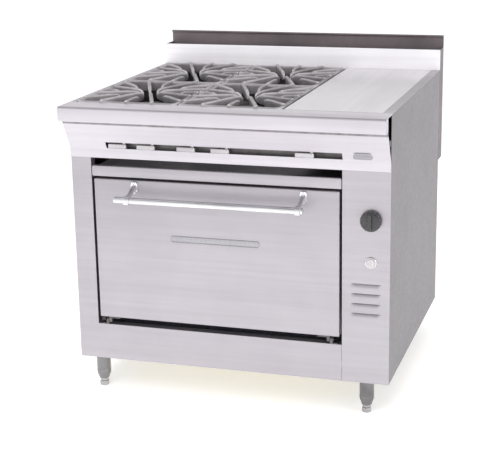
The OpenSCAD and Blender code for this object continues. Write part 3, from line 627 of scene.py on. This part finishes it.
def frame_mount(name):
    """Where the record puts a mount."""
    return next(m for m in frame["record"]["mounts"] if m["name"] == name)["pos_m"]


def screw_head(bm, at, axis, radius, height):
    """A domed head with a driver slot."""
    profile = [(0, 0), (radius, 0), (radius, height * 0.35), (radius * 0.86, height * 0.75),
               (radius * 0.55, height * 0.97), (radius * 0.5, height * 0.6), (0, height * 0.55)]
    lathe(bm, profile, at, axis, 20)


SCREW_R = 0.004


def screws(node, out, angle, between_x=(), between_z=()):
    """Screws in columns and rows, out to the corners of their CAD node."""
    low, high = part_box(node)
    bm = bmesh.new()
    seat_y = low.y if out > 0 else high.y
    for x in (low.x + SCREW_R, *between_x, high.x - SCREW_R):
        for z in (low.z + SCREW_R, *between_z, high.z - SCREW_R):
            screw_head(bm, (x, seat_y, z), (0, out, 0), SCREW_R, high.y - low.y)
    replace_node(node, bm, angle=angle)


# ---- front rail ----

def paint_shade_band(material, low, high, shade):
    """Darkens a material between two heights: painted shade under an overhang, made patchy with noise."""
    tree = material.node_tree
    shader = tree.nodes["Principled BSDF"]
    unshaded = shader.inputs["Base Color"].links[0].from_socket
    coords = wire(tree, "ShaderNodeTexCoord").outputs["Object"]
    height = wire(tree, "ShaderNodeSeparateXYZ", {0: coords}).outputs["Z"]
    above = remap(height, low, low + 0.003)
    below = remap(height, high - 0.0005, high, 1.0, 0.0)
    patchy = remap(noise(coords, 30.0), 0.3, 0.7, 0.6, 1.0)
    band = combine("MULTIPLY", above, below)
    colour_by(shader, combine("MULTIPLY", band, patchy), unshaded, shade)


def front_rail():
    """The folded rail with its slot, and its nose closed at both ends."""
    low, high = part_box("front_rail")
    lip_y = low.y + LIP_BACK
    band_bottom = high.z - BAND_H
    lip_top = low.z + LIP_H
    slot_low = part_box("valve_lever_1")[0].z - SLOT_UNDER_LEVER
    slot_high = slot_low + SLOT_H
    path = [(high.y, high.z), (low.y, high.z), (low.y, band_bottom),
            (low.y + NOSE_BACK, band_bottom), (lip_y, lip_top), (lip_y, low.z), (FRONT_Y, low.z)]
    pairs = folded(path, RAIL_SHEET, [NOSE_FOLD, 0.0035, 0.002, 0.004, 0.0025], 6)
    pairs, cut = split_pairs(pairs, (slot_low, slot_high))
    xs = [low.x, low.x + SLOT_LEFT, high.x - SLOT_RIGHT, high.x]
    bm = bmesh.new()
    shell(bm, pairs, xs, in_yz, [(i, 1) for i in cut])
    inset = 0.0012
    nose = corners_of(low.y + inset, band_bottom + 0.0015, low.y + NOSE_DEEP, high.z - inset)
    for x in (low.x, high.x - RAIL_SHEET):
        prism(bm, rounded(nose, 0.005, 5), in_yz, x, x + RAIL_SHEET)
    rail = replace_node("front_rail", bm, 0.0006)
    # The rail alone gets a lighter copy of the front steel: painted light for the brighter light the rail catches.
    steel = brushed("rail_steel_lit", (0.66, 0.625, 0.67), (0.56, 0.53, 0.57), ALONG_X, (0.32, 0.46), 0.9)
    # Painted shade on the slope just under the nose band
    paint_shade_band(steel, band_bottom - SHADE_BAND_H, band_bottom, (0.2, 0.185, 0.195))
    rail.data.materials[0] = steel


def split_pairs(pairs, heights):
    """Adds pairs at two heights on the slope, and says which strips lie between them."""
    made = [pairs[0]]
    for first, second in zip(pairs, pairs[1:]):
        cuts = []
        for z in heights:
            a, b = first[0].y, second[0].y
            if min(a, b) < z < max(a, b) and abs(first[0].x - second[0].x) > 0.01:
                t = (z - a) / (b - a)
                cuts.append((t, (first[0].lerp(second[0], t), first[1].lerp(second[1], t))))
        made += [pair for _, pair in sorted(cuts, key=lambda c: c[0])] + [second]
    low, high = heights
    cut = [i for i, (a, b) in enumerate(zip(made, made[1:]))
           if low - 1e-5 < min(a[0].y, b[0].y) and max(a[0].y, b[0].y) < high + 1e-5
           and abs(a[0].x - b[0].x) > 0.005]
    return made, cut


BADGE_HALF_H = 0.0105
BADGE_STUDS = 5
BADGE_PITCH = 0.0078


def rail_badge():
    """A plain plate with a raised rim and plain studs, on the rail's slope."""
    low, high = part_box("rail_badge")
    slope = math.atan2(LIP_BACK - NOSE_BACK, DECK_Z - BAND_H - RAIL_BOTTOM - LIP_H)
    lean = Matrix.Translation((low + high) / 2) @ Matrix.Rotation(slope, 4, "X")
    half_w, half_h = (high.x - low.x) / 2, BADGE_HALF_H
    rim = rounded([(-half_w, -half_h), (half_w, -half_h), (half_w * 0.8, half_h), (-half_w * 0.8, half_h)],
                  0.006, 5)
    field = [(x * 0.86, z * 0.74) for x, z in rim]
    front, sunk, back = -0.001, -0.0003, 0.001
    solids = [[at_depth(rim, back), at_depth(rim, front), at_depth(field, front), at_depth(field, sunk)]]
    for k in range(BADGE_STUDS):
        x = (k - (BADGE_STUDS - 1) / 2) * BADGE_PITCH
        stud = corners_of(x - 0.0026, -0.003, x + 0.0026, 0.003)
        solids.append([at_depth(stud, front), at_depth(stud, sunk + 0.0002)])
    bm = bmesh.new()
    for rings in solids:
        loft(bm, [[lean @ Vector(p) for p in ring] for ring in rings])
    replace_node("rail_badge", bm, 0.0003)


def rail_bracket_bolts():
    """A bolt on each strap in the rail's open ends."""
    bolts = bmesh.new()
    low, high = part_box("rail_brackets")
    profile = [(0, -0.001), (0.0049, -0.001), (0.0049, 0.0004), (0.004, 0.0012), (0, 0.0013)]
    for side, x in ((-1, low.x + 0.0014), (1, high.x - 0.0014)):
        lathe(bolts, profile, (x, FRONT_Y - 0.020, (low.z + high.z) / 2), (side, 0, 0), 6)
    make_piece("rail_bracket_bolts", bolts, "galvanised", "root", edge=0.0002)


# ---- controls ----

def capsule(centre, half_l, radius, steps=10):
    """An outline with round ends along the first axis."""
    points = []
    for end in (1, -1):
        middle_x = centre[0] + end * (half_l - radius)
        for k in range(steps + 1):
            a = math.pi * (k / steps - end / 2)
            points.append((middle_x + radius * math.cos(a), centre[1] + radius * math.sin(a)))
    return points


LEVER_THICK = 0.013
PADDLE_R = 0.0045


def valve_lever(number):
    """A cast lever on its plug: a round hub and a paddle with a raised rim."""
    node = f"valve_lever_{number}"
    low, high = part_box(node)
    pivot = joint_at(node)
    z0, z1 = low.z, low.z + LEVER_THICK
    hub_r = high.x - pivot.x
    bm = bmesh.new()
    lathe(bm, [(0, z0), (hub_r - 0.001, z0), (hub_r, z0 + 0.0015), (hub_r, z1 - 0.002),
               (hub_r - 0.0015, z1), (0.005, z1), (0.005, high.z - 0.001), (0.004, high.z), (0, high.z)],
          (pivot.x, pivot.y, 0), steps=36)
    for scale, drop in ((1.0, 0.0), (0.72, 0.0008)):
        outline = capsule(((low.x + pivot.x) / 2, pivot.y - PADDLE_R),
                          (pivot.x - low.x) / 2 - (1 - scale) * 0.004, PADDLE_R * scale)
        prism(bm, outline, in_xy, z0 + 0.0006 + drop * 2, z1 - 0.0012 + drop)
    replace_node(node, bm, 0.0009, 3, 40)


TICKS = 11
OUT = (0, -1, 0)


def thermostat_knob():
    """A phenolic knob: a fluted skirt, a tapered crown, and a grip across it, with its pointer and scale."""
    low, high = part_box("thermostat_knob")
    centre = (low + high) / 2
    r = (high.x - low.x) / 2
    at = (centre.x, FRONT_Y, centre.z)
    reach = FRONT_Y - low.y
    bm = bmesh.new()

    def flutes(row, a, radius):
        return radius - (0.0008 * (0.5 - 0.5 * math.cos(24 * a)) if row in (2, 3) else 0)

    lathe(bm, [(0, 0.003), (r - 0.001, 0.003), (r, 0.0045), (r, 0.0105), (r - 0.0012, 0.012),
               (r - 0.003, 0.0125), (r - 0.006, 0.0195), (r - 0.0085, 0.0205), (0, 0.0205)],
          at, OUT, 96, flutes)
    lathe(bm, [(0, -0.0215), (0.0037, -0.0215), (0.004, -0.021), (0.004, 0.004), (0, 0.004)], at, OUT, 24)
    grip = rounded(corners_of(-0.006, -r + 0.007, 0.006, r - 0.007), 0.0055, 5)
    rings = [(1.12, 0.0195), (1.0, 0.0225), (0.92, 0.027), (0.8, reach - 0.001), (0.6, reach)]
    loft(bm, [[(centre.x + x * s, FRONT_Y - d, centre.z + z * (0.9 + 0.1 * s)) for x, z in grip]
              for s, d in rings])
    replace_node("thermostat_knob", bm, 0.0004, 2, 40)
    mark = bmesh.new()
    block(mark, (centre.x - 0.0009, low.y + 0.0004, centre.z + 0.004),
          (centre.x + 0.0009, low.y + 0.004, high.z - 0.0095))
    make_piece("knob_mark", mark, "button_plastic", "thermostat_knob", edge=0.0003)
    ticks = bmesh.new()
    tick = corners_of(-0.0005, r - 0.0048, 0.0005, r - 0.0016)
    for k in range(TICKS):
        turn = Matrix.Rotation(math.radians(-135 + 270 / (TICKS - 1) * k), 4, "Y")
        loft(ticks, [[Vector(at) + turn @ Vector((x, -d, z)) for x, z in tick] for d in (0.0110, 0.01235)])
    make_piece("knob_ticks", ticks, "button_plastic", "thermostat_knob")


def button():
    """A domed push button in a stepped bezel."""
    low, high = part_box("button_housing")
    at = ((low.x + high.x) / 2, FRONT_Y, (low.z + high.z) / 2)
    outer = (high.x - low.x) / 2
    bore = 0.01205
    bm = bmesh.new()
    lathe(bm, [(bore, -0.026), (0.014, -0.026), (0.014, 0.0), (outer, 0.0), (outer, 0.0018),
               (outer - 0.0012, 0.0034), (outer - 0.0026, 0.004), (bore + 0.0012, 0.004),
               (bore, 0.0032), (bore, -0.0255)], at, OUT, 64)
    replace_node("button_housing", bm, angle=50)
    low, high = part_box("pilot_button")
    r = (high.x - low.x) / 2
    back, face = FRONT_Y - high.y, FRONT_Y - low.y
    bm = bmesh.new()
    lathe(bm, [(0, back), (r - 0.0005, back), (r, back + 0.0005), (r, face - 0.003),
               (r - 0.0006, face - 0.0014), (r - 0.002, face - 0.0004), (r * 0.55, face - 0.0002),
               (r * 0.5, face - 0.0008), (0, face - 0.0013)], at, OUT, 64)
    replace_node("pilot_button", bm, angle=50)


# ---- cooktop ----

GRATE_PLACES = ("front_left", "rear_left", "rear_right", "front_right")


def finger_section(width, low, top, crown):
    """Half-width and height pairs round a finger, from its narrow foot up to its rounded top."""
    half = width / 2
    side = [(half * 0.94, low + 0.45 * (top - low)), (half, top - crown), (half * 0.8, top - crown * 0.35),
            (half * 0.4, top)]
    foot = width * 0.33
    return [(-foot, low), (foot, low)] + side + [(-u, z) for u, z in reversed(side)]


def grate_mesh():
    """One cast grate, centred on its burner, with its foot at height zero. All four share it."""
    low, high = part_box("grate_front_left")
    half_x, half_y, height = (high.x - low.x) / 2, (high.y - low.y) / 2, high.z - low.z
    inset = 0.0006
    frame_top = height - 0.006
    outer = rounded(corners_of(inset - half_x, inset - half_y, half_x - inset, half_y - inset), 0.012, 5)
    inner = [(x * (1 - GRATE_BAR / half_x), y * (1 - GRATE_BAR / half_y)) for x, y in outer]
    bands = [(outer, 0.992, 0.994, inset), (outer, 1, 1, 0.006), (outer, 1, 1, frame_top - 0.002),
             (outer, 0.99, 0.992, frame_top), (inner, 1.01, 1.008, frame_top),
             (inner, 1, 1, frame_top - 0.003), (inner, 1.012, 1.01, inset)]
    bm = bmesh.new()
    made = [[bm.verts.new((x * wide, y * deep, z)) for x, y in ring] for ring, wide, deep, z in bands]
    for first, second in zip(made, made[1:] + made[:1]):
        join_rings(bm, first, second)
    for k, a in enumerate(turns(FINGERS)):
        c, s = math.cos(a), math.sin(a)
        edge = min(half_x / max(abs(c), 1e-6), half_y / max(abs(s), 1e-6))
        lean = abs(s / c) if abs(c) > abs(s) * half_x / half_y else abs(c / s)
        start = FINGER_LONG if k % 2 else FINGER_SHORT
        end = edge - FINGER_W / 2 * min(lean, 1.0) - 0.0008
        stations = [(start, 0.55, 0.011), (start + 0.004, 0.8, 0.006), (start + 0.014, 0.96, 0.002),
                    (start + 0.04, 1.0, inset), (end - 0.02, 1.0, inset), (end - 0.003, 0.97, inset),
                    (end, 0.8, 0.0025)]
        rings = []
        for reach, width, drop in stations:
            wide = (FINGER_W - 2 * inset) * width
            section = finger_section(wide, 0.007 + drop * 0.6, height - drop, 0.0035)
            rings.append([(reach * c - u * s, reach * s + u * c, z) for u, z in section])
        loft(bm, rings)
    bmesh.ops.recalc_face_normals(bm, faces=bm.faces)
    casting = add_object("grate_casting", mesh_from("grate_casting", bm))
    skin = casting.modifiers.new("skin", "REMESH")
    skin.mode = "VOXEL"
    skin.voxel_size = 0.0016
    smooth = casting.modifiers.new("smooth", "SMOOTH")
    smooth.factor = 0.5
    smooth.iterations = 3
    casting.modifiers.new("thin", "DECIMATE").ratio = 0.22
    made = bpy.data.meshes.new_from_object(casting.evaluated_get(bpy.context.evaluated_depsgraph_get()))
    bpy.data.objects.remove(casting)
    made.shade_smooth()
    made.materials.clear()
    made.materials.append(MATERIALS["cast_iron"])
    return made


def grates():
    mesh = grate_mesh()
    for place in GRATE_PLACES:
        node = "grate_" + place
        piece = add_object(node + "_casting", mesh)
        piece.location = (*middle(node).xy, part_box(node)[0].z)
        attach(piece, BODY_OF[node])
        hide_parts(node)


PORTS = 36
VENTURI_R = 0.014
OUTLET_Z = 0.775


def burner(place, lever):
    """A cast burner: a ported head with a cap, its neck, and the mixing tube from its valve."""
    node = "burner_" + place
    head = middle("grate_" + place)
    feed_x = joint_at(lever).x
    low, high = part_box(node)
    straight = abs(feed_x - head.x) < 0.01
    r = min(head.x - low.x, high.x - head.x) if straight else 0.050
    base = high.z - 0.022
    mouth, wall = VENTURI_R - 0.003, VENTURI_R + 0.003
    bm = bmesh.new()

    def teeth(row, a, radius):
        return radius - (0.0035 if row in (3, 4) and int(a / math.pi * PORTS + 0.5) % 2 else 0)

    lathe(bm, [(wall, OUTLET_Z), (wall, base - 0.001), (r - 0.010, base + 0.0005),
               (r - 0.0012, base + 0.0065), (r - 0.0012, base + 0.0115), (r - 0.0012, base + 0.0118),
               (r - 0.003, base + 0.0145), (r - 0.012, base + 0.0205), (r - 0.022, base + 0.0215),
               (0, base + 0.0205)],
          (head.x, head.y, 0), steps=PORTS * 4, wave=teeth)
    lathe(bm, [(0, low.z), (0.0078, low.z), (0.0078, OUTLET_Z), (0, OUTLET_Z)], (head.x, head.y, 0), steps=24)
    lathe(bm, [(mouth, 0), (wall, 0), (wall + 0.001, 0.0015), (wall + 0.001, 0.0225), (wall - 0.0005, 0.024),
               (wall - 0.0035, 0.030), (mouth, 0.030)], (feed_x, low.y, OUTLET_Z), (0, 1, 0), 40)
    run = [Vector((feed_x, low.y + 0.024, OUTLET_Z)), Vector((feed_x, head.y, OUTLET_Z))]
    if not straight:
        run = bend_path(run + [(head.x, head.y, OUTLET_Z)], 0.03)
    tube(bm, run, VENTURI_R - 0.0002, 28)
    replace_node(node, bm, angle=40)


def hot_plate():
    """The ground steel plate, its edges eased."""
    low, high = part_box("hot_plate")
    bm = bmesh.new()
    block(bm, low, high)
    replace_node("hot_plate", bm, 0.0018, 3)


def top_trim(node, side):
    """A capping strip with its folded inner edge."""
    low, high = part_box(node)
    leg_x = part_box("top_frame")[1].x if side > 0 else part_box("top_frame")[0].x - SHEET
    bm = bmesh.new()
    block(bm, (low.x, low.y, high.z - SHEET), high)
    block(bm, (leg_x, low.y + 0.002, low.z), (leg_x + SHEET, high.y, high.z - SHEET))
    replace_node(node, bm, 0.0006, 3)


# ---- riser ----

def riser_front():
    """The riser's front sheet, folded over at its top, with folded returns at its ends."""
    low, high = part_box("riser_front")
    bm = bmesh.new()
    path = [(low.y, DECK_Z), (low.y, high.z), (low.y + 0.010, high.z)]
    pairs = folded(path, -SHEET, FOLD)
    shell(bm, pairs, [low.x, high.x], in_yz)
    block(bm, (low.x + 0.022, low.y, low.z), (high.x - 0.022, low.y + SHEET, DECK_Z))
    for x in (low.x, high.x - SHEET):
        block(bm, (x, low.y + SHEET, DECK_Z), (x + SHEET, high.y, high.z - FOLD))
    replace_node("riser_front", bm, 0.0006)


def riser_back():
    """The flue box behind, with a rolled hem along its top edge."""
    low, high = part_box("riser_back")
    side_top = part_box("riser_front")[1].z
    hem_r = 0.0034
    bm = bmesh.new()
    path = [(low.y, low.z), (high.y, low.z), (high.y, high.z - hem_r)]
    shell(bm, folded(path, SHEET, FOLD), [low.x, high.x], in_yz)
    y, z = high.y - hem_r, high.z - hem_r
    tube(bm, [(low.x, y, z), (high.x, y, z)], hem_r, 16, 0.0006)
    for x in (low.x, high.x - SHEET):
        block(bm, (x, low.y, low.z + FOLD), (x + SHEET, high.y - SHEET, side_top))
    replace_node("riser_back", bm, 0.0005)


# ---- legs ----

FEET = ["foot_" + place for place in ("front_left", "front_right", "rear_left", "rear_right")]
LEG_R = 0.0205
FLANGE_R = 0.032
FLANGE_BOLTS_R = 0.0268
LEG_BORE_R = 0.00805


def legs():
    """Pressed leg shells, each with a bolted flange and a swaged lower end."""
    z0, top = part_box("legs")[0].z, BODY_BOTTOM
    flange_z = top - 0.004
    r, neck_r = LEG_R, LEG_R - 0.0006
    bm = bmesh.new()
    for foot in FEET:
        at = Vector((middle(foot).x, middle(foot).y, 0))
        lathe(bm, [(LEG_BORE_R, z0 + 0.0005), (0.0132, z0), (0.0145, z0 + 0.001), (0.0152, z0 + 0.004),
                   (0.0186, z0 + 0.0135), (0.0199, z0 + 0.0165), (r, z0 + 0.0205), (r, z0 + 0.030),
                   (neck_r, z0 + 0.031), (neck_r, z0 + 0.0335), (r, z0 + 0.0345), (r, flange_z - 0.004),
                   (r + 0.0012, flange_z - 0.001), (r + 0.003, flange_z), (FLANGE_R - 0.0006, flange_z),
                   (FLANGE_R, flange_z + 0.001), (FLANGE_R, top - 0.0004), (FLANGE_R - 0.0005, top),
                   (0.006, top), (0.006, top + 0.0135), (0.0052, top + 0.014), (0, top + 0.014)],
              at, steps=56)
        for k in range(4):
            a = math.radians(45 + 90 * k)
            bolt = Vector((math.cos(a), math.sin(a), 0)) * FLANGE_BOLTS_R
            lathe(bm, [(0, 0), (0.0036, 0), (0.0036, 0.0022), (0.0028, 0.003), (0, 0.003)],
                  at + bolt + Vector((0, 0, flange_z + 0.0002)), (0, 0, -1), 6)
    replace_node("legs", bm, angle=40)


def feet():
    """Turned feet with a hexagon for a spanner."""
    # The feet get a darker copy of the chrome: painted shade.
    steel = plated("foot_chrome_shaded", (0.48, 0.47, 0.48), (0.36, 0.35, 0.36), (0.1, 0.24))
    for foot in FEET:
        low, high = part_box(foot)
        r, top = (high.x - low.x) / 2, high.z
        bm = bmesh.new()

        def flats(row, a, radius):
            if row not in (3, 4):
                return radius
            return min(radius, r * 0.9 / max(math.cos((a + math.pi / 6) % (math.pi / 3) - math.pi / 6), 0.5))

        lathe(bm, [(0, 0), (r - 0.0018, 0), (r - 0.0004, 0.0012), (r, 0.003), (r, 0.013), (r - 0.001, 0.0142),
                   (0.011, 0.0152), (0.0108, 0.0213), (0.008, 0.0214), (0.008, top - 0.001), (0.007, top),
                   (0, top)], (middle(foot).x, middle(foot).y, 0), steps=48, wave=flats)
        replace_node(foot, bm, angle=40).data.materials[0] = steel


# ---- door ----

def door_panel():
    """The door's outer pan: a face with rounded folds, open at its back."""
    low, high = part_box("door_panel")
    bm = bmesh.new()
    block(bm, low, high)
    bm.faces.ensure_lookup_table()
    back = max(bm.faces, key=lambda f: f.calc_center_median().y)
    bmesh.ops.delete(bm, geom=[back], context="FACES_ONLY")
    front_edges = [e for e in bm.edges if all(abs(v.co.y - low.y) < 1e-6 for v in e.verts)]
    corner_edges = [e for e in bm.edges if abs(e.verts[0].co.y - e.verts[1].co.y) > 0.01]
    bmesh.ops.bevel(bm, geom=front_edges + corner_edges, offset=0.0035, segments=4, affect="EDGES",
                    profile=0.5)
    piece = replace_node("door_panel", bm, angle=30)
    skin = piece.modifiers.new("sheet", "SOLIDIFY")
    skin.thickness = SHEET
    skin.offset = -1


def door_liner():
    """The door's inner sheet, pressed with a sunk field."""
    low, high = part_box("door_liner")
    inner_low, inner_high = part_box("door_gasket")
    centre = (low + high) / 2
    inset = 0.045
    outline = rounded(corners_of(low.x, low.z, high.x, high.z), 0.004, 4)
    field = rounded(corners_of(inner_low.x + inset, inner_low.z + inset,
                               inner_high.x - inset, inner_high.z - inset), 0.02, 4)
    sunk = [(mix(x, centre.x, 0.012), mix(z, centre.z, 0.02)) for x, z in field]
    bm = bmesh.new()
    loft(bm, [at_depth(outline, low.y), at_depth(outline, high.y), at_depth(field, high.y),
              at_depth(sunk, high.y - 0.0008)])
    replace_node("door_liner", bm, 0.0004)


CORD_STEPS = 12


def door_gasket():
    """A round woven cord set round the oven's mouth."""
    low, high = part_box("door_gasket")
    r = (high.y - low.y) / 2
    inset = 0.005
    outline = rounded(corners_of(low.x + inset, low.z + inset, high.x - inset, high.z - inset), 0.02, 8)
    bm = bmesh.new()
    rings = []
    for i, point in enumerate(outline):
        along = (Vector(outline[(i + 1) % len(outline)]) - Vector(outline[i - 1])).normalized()
        ring = []
        for a in turns(CORD_STEPS):
            wide = Vector((-along.y, along.x)) * (0.0045 * math.cos(a))
            ring.append(bm.verts.new((point[0] + wide.x, low.y + r + r * math.sin(a), point[1] + wide.y)))
        rings.append(ring)
    for first, second in zip(rings, rings[1:] + rings[:1]):
        join_rings(bm, first, second)
    replace_node("door_gasket", bm, angle=60)


def handle_bar():
    """A polished bar with eased ends."""
    low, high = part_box("handle_bar")
    _, y, z = (low + high) / 2
    bm = bmesh.new()
    tube(bm, [(low.x, y, z), (high.x, y, z)], (high.z - low.z) / 2, 48, 0.003)
    replace_node("handle_bar", bm, angle=30)


ARM_W = 0.016
ARM_STEPS = 24
ARM_FOOT_EDGE = 0.003
ARM_FOOT_HALF_H = 0.018


def handle_brackets():
    """Cast arms that sweep up and back from the bar to feet on the door."""
    low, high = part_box("handle_brackets")
    bar = middle("handle_bar")
    boss_r = bar.y - low.y
    edge, half_h = ARM_FOOT_EDGE, ARM_FOOT_HALF_H
    foot_z = high.z - half_h
    path = [Vector(p) for p in ((bar.y + 0.002, bar.z + 0.006), (bar.y + 0.018, bar.z + 0.010),
                                (bar.y + 0.036, bar.z + 0.017), (FRONT_Y - 0.014, foot_z - 0.003),
                                (FRONT_Y - 0.003, foot_z))]
    halves = [(0.0076, 0.0095), (0.0068, 0.0075), (0.0068, 0.0074), (0.0078, 0.0080), (0.0095, 0.0086)]
    boss = [(0.0094, 0), (boss_r - 0.0025, 0), (boss_r - 0.0005, 0.0012), (boss_r, 0.0035)]
    boss += [(radius, ARM_W - x) for radius, x in reversed(boss)]
    bm = bmesh.new()
    for x0 in (low.x + edge, high.x - edge - ARM_W):
        centre_x = x0 + ARM_W / 2
        lathe(bm, boss, (x0, bar.y, bar.z), (1, 0, 0), 40)
        rings = []
        for i, (point, (wide, tall)) in enumerate(zip(path, halves)):
            ahead = (path[min(i + 1, len(path) - 1)] - path[max(i - 1, 0)]).normalized()
            up = Vector((-ahead.y, ahead.x))
            ring = []
            for a in turns(ARM_STEPS):
                y, z = point + up * tall * math.sin(a)
                ring.append((centre_x + wide * math.cos(a), y, min(z, high.z - 0.001)))
            rings.append(ring)
        loft(bm, rings)
        foot = rounded(corners_of(x0 - edge, foot_z - half_h, x0 + ARM_W + edge, foot_z + half_h), 0.009, 6)
        shrunk = [(mix(x, centre_x, 0.14), mix(z, foot_z, 0.08)) for x, z in foot]
        loft(bm, [at_depth(foot, FRONT_Y), at_depth(foot, FRONT_Y - 0.0035),
                  at_depth(shrunk, FRONT_Y - 0.006)])
    replace_node("handle_brackets", bm, angle=40)


PLATE_STUDS = 17


def nameplate():
    """A plain plate with round ends, a raised rim and a row of plain studs."""
    low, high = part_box("nameplate")
    x_mid, face, z_mid = (low.x + high.x) / 2, low.y, (low.z + high.z) / 2
    half_l, r = (high.x - low.x) / 2, (high.z - low.z) / 2
    bands = [(0, high.y), (0, face + 0.0005), (0.0006, face), (0.0022, face), (0.003, face + 0.001)]
    bm = bmesh.new()
    loft(bm, [at_depth(capsule((x_mid, z_mid), half_l - inset, r - inset, 14), y) for inset, y in bands])
    pitch = (2 * half_l - 0.034) / (PLATE_STUDS - 1)
    for k in range(PLATE_STUDS):
        x = x_mid + (k - (PLATE_STUDS - 1) / 2) * pitch
        stud = rounded(corners_of(x - 0.0042, z_mid - 0.0036, x + 0.0042, z_mid + 0.0036), 0.001, 3)
        loft(bm, [at_depth(stud, face + 0.0012), at_depth(stud, face + 0.0001)])
    replace_node("nameplate", bm, angle=30)


# ---- crumb tray ----

def crumb_tray():
    """A folded pan with a rolled front edge."""
    low, high = TRAY_LOW, TRAY_HIGH
    side_h = 0.022
    bm = bmesh.new()
    path = [(high.y, low.z + side_h), (high.y, low.z), (low.y, low.z), (low.y, high.z),
            (low.y + 0.012, high.z)]
    shell(bm, folded(path, -SHEET, FOLD), [low.x + SHEET, high.x - SHEET], in_yz)
    for x in (low.x, high.x - SHEET):
        block(bm, (x, low.y + FOLD, low.z), (x + SHEET, high.y, low.z + side_h))
        block(bm, (x, low.y, low.z + FOLD), (x + SHEET, low.y + FOLD, high.z - FOLD))
    replace_node("crumb_tray", bm, 0.0006)


# ---- the CAD nodes that stay ----

def finish_nodes():
    """Gives every CAD node that still shows its material and slightly eased edges."""
    for node, piece in frame["nodes"].items():
        if piece.hide_render:
            continue
        piece.data.materials.clear()
        piece.data.materials.append(MATERIALS[SLOT_OF[node]])
        weld = piece.modifiers.new("weld", "WELD")
        weld.merge_threshold = 0.00002
        if node not in ("oven_rack", "door_insulation", "oven_insulation"):
            soften(piece, 0.0005, 2, 40)


# ---- studio ----

FLOOR_HALF = 14.0
FLOOR_GLOW = 0.48
HORIZON_GLOW = 1.1
ZENITH_GLOW = 0.4


def studio():
    """Pale floor, a soft sky, and soft lights."""
    bm = bmesh.new()
    edge = corners_of(-FLOOR_HALF, -FLOOR_HALF, FLOOR_HALF, FLOOR_HALF)
    bm.faces.new([bm.verts.new((x, y, 0)) for x, y in edge])
    floor = add_object("floor", mesh_from("floor", bm))
    paper, shader, coords = start_material("floor_paper")
    fibre = noise(coords, 40.0)
    colour_by(shader, remap(fibre, 0.4, 0.6), (0.86, 0.86, 0.86), (0.84, 0.84, 0.84))
    shader.inputs["Roughness"].default_value = 0.8
    shader.inputs["Emission Color"].default_value = (1, 1, 1, 1)
    shader.inputs["Emission Strength"].default_value = FLOOR_GLOW
    floor.data.materials.append(paper)

    world = bpy.data.worlds.new("studio")
    bpy.context.scene.world = world
    world.use_nodes = True
    sky = world.node_tree
    ray = wire(sky, "ShaderNodeTexCoord").outputs["Generated"]
    height = wire(sky, "ShaderNodeSeparateXYZ", {0: ray}).outputs["Z"]
    glow = remap(height, 0.25, 0.85, HORIZON_GLOW, ZENITH_GLOW)
    sky.nodes["Background"].inputs["Color"].default_value = (0.99, 0.99, 1.0, 1)
    sky.links.new(glow, sky.nodes["Background"].inputs["Strength"])

    for name, at, aim, width, power, shows in (
        ("key", (-0.6, -3.8, 3.4), (0, 0, 0.5), 2.4, 60, False),
        ("top", (0.0, -0.6, 4.2), (0, 0, 0), 4.0, 75, False),
        ("fill", (3.8, -1.6, 1.8), (0, 0, 0.5), 2.4, 25, True),
    ):
        light = bpy.data.lights.new(name, "AREA")
        light.shape = "SQUARE"
        light.size = width
        light.energy = power
        lamp = add_object(name, light)
        lamp.location = at
        lamp.rotation_euler = (Vector(aim) - Vector(at)).to_track_quat("-Z", "Y").to_euler()
        lamp.visible_glossy = shows

    bpy.context.scene.view_settings.view_transform = "Standard"


CAMERA_AT = (1.0903, -3.6838, 1.4697)
CAMERA_YAW = 17.24
CAMERA_PITCH = -15.17
CAMERA_ROLL = -0.95
CAMERA_LENS = 94.06


def camera():
    data = bpy.data.cameras.new("camera")
    data.lens = CAMERA_LENS
    data.sensor_width = 36.0
    made = add_object("camera", data)
    made.location = CAMERA_AT
    turn = (Matrix.Rotation(math.radians(CAMERA_YAW), 4, "Z")
            @ Matrix.Rotation(math.radians(90 + CAMERA_PITCH), 4, "X")
            @ Matrix.Rotation(math.radians(CAMERA_ROLL), 4, "Z"))
    made.rotation_euler = turn.to_euler()
    bpy.context.scene.camera = made


camera()
front_casing()
control_panel()
side_panel("left_side_panel", -1)
side_panel("right_side_panel", 1)
back_panel()
screws("casing_screws", 1, 32, (-0.150, 0.150), (0.350,))
front_rail()
rail_badge()
rail_bracket_bolts()
for number in range(1, 6):
    valve_lever(number)
thermostat_knob()
button()
grates()
for number, place in enumerate(GRATE_PLACES, 1):
    burner(place, f"valve_lever_{number}")
hot_plate()
top_trim("top_trim_left", -1)
top_trim("top_trim_right", 1)
riser_front()
riser_back()
legs()
feet()
door_panel()
door_liner()
door_gasket()
handle_bar()
handle_brackets()
screws("handle_screws", -1, 40)
nameplate()
crumb_tray()
finish_nodes()
studio()
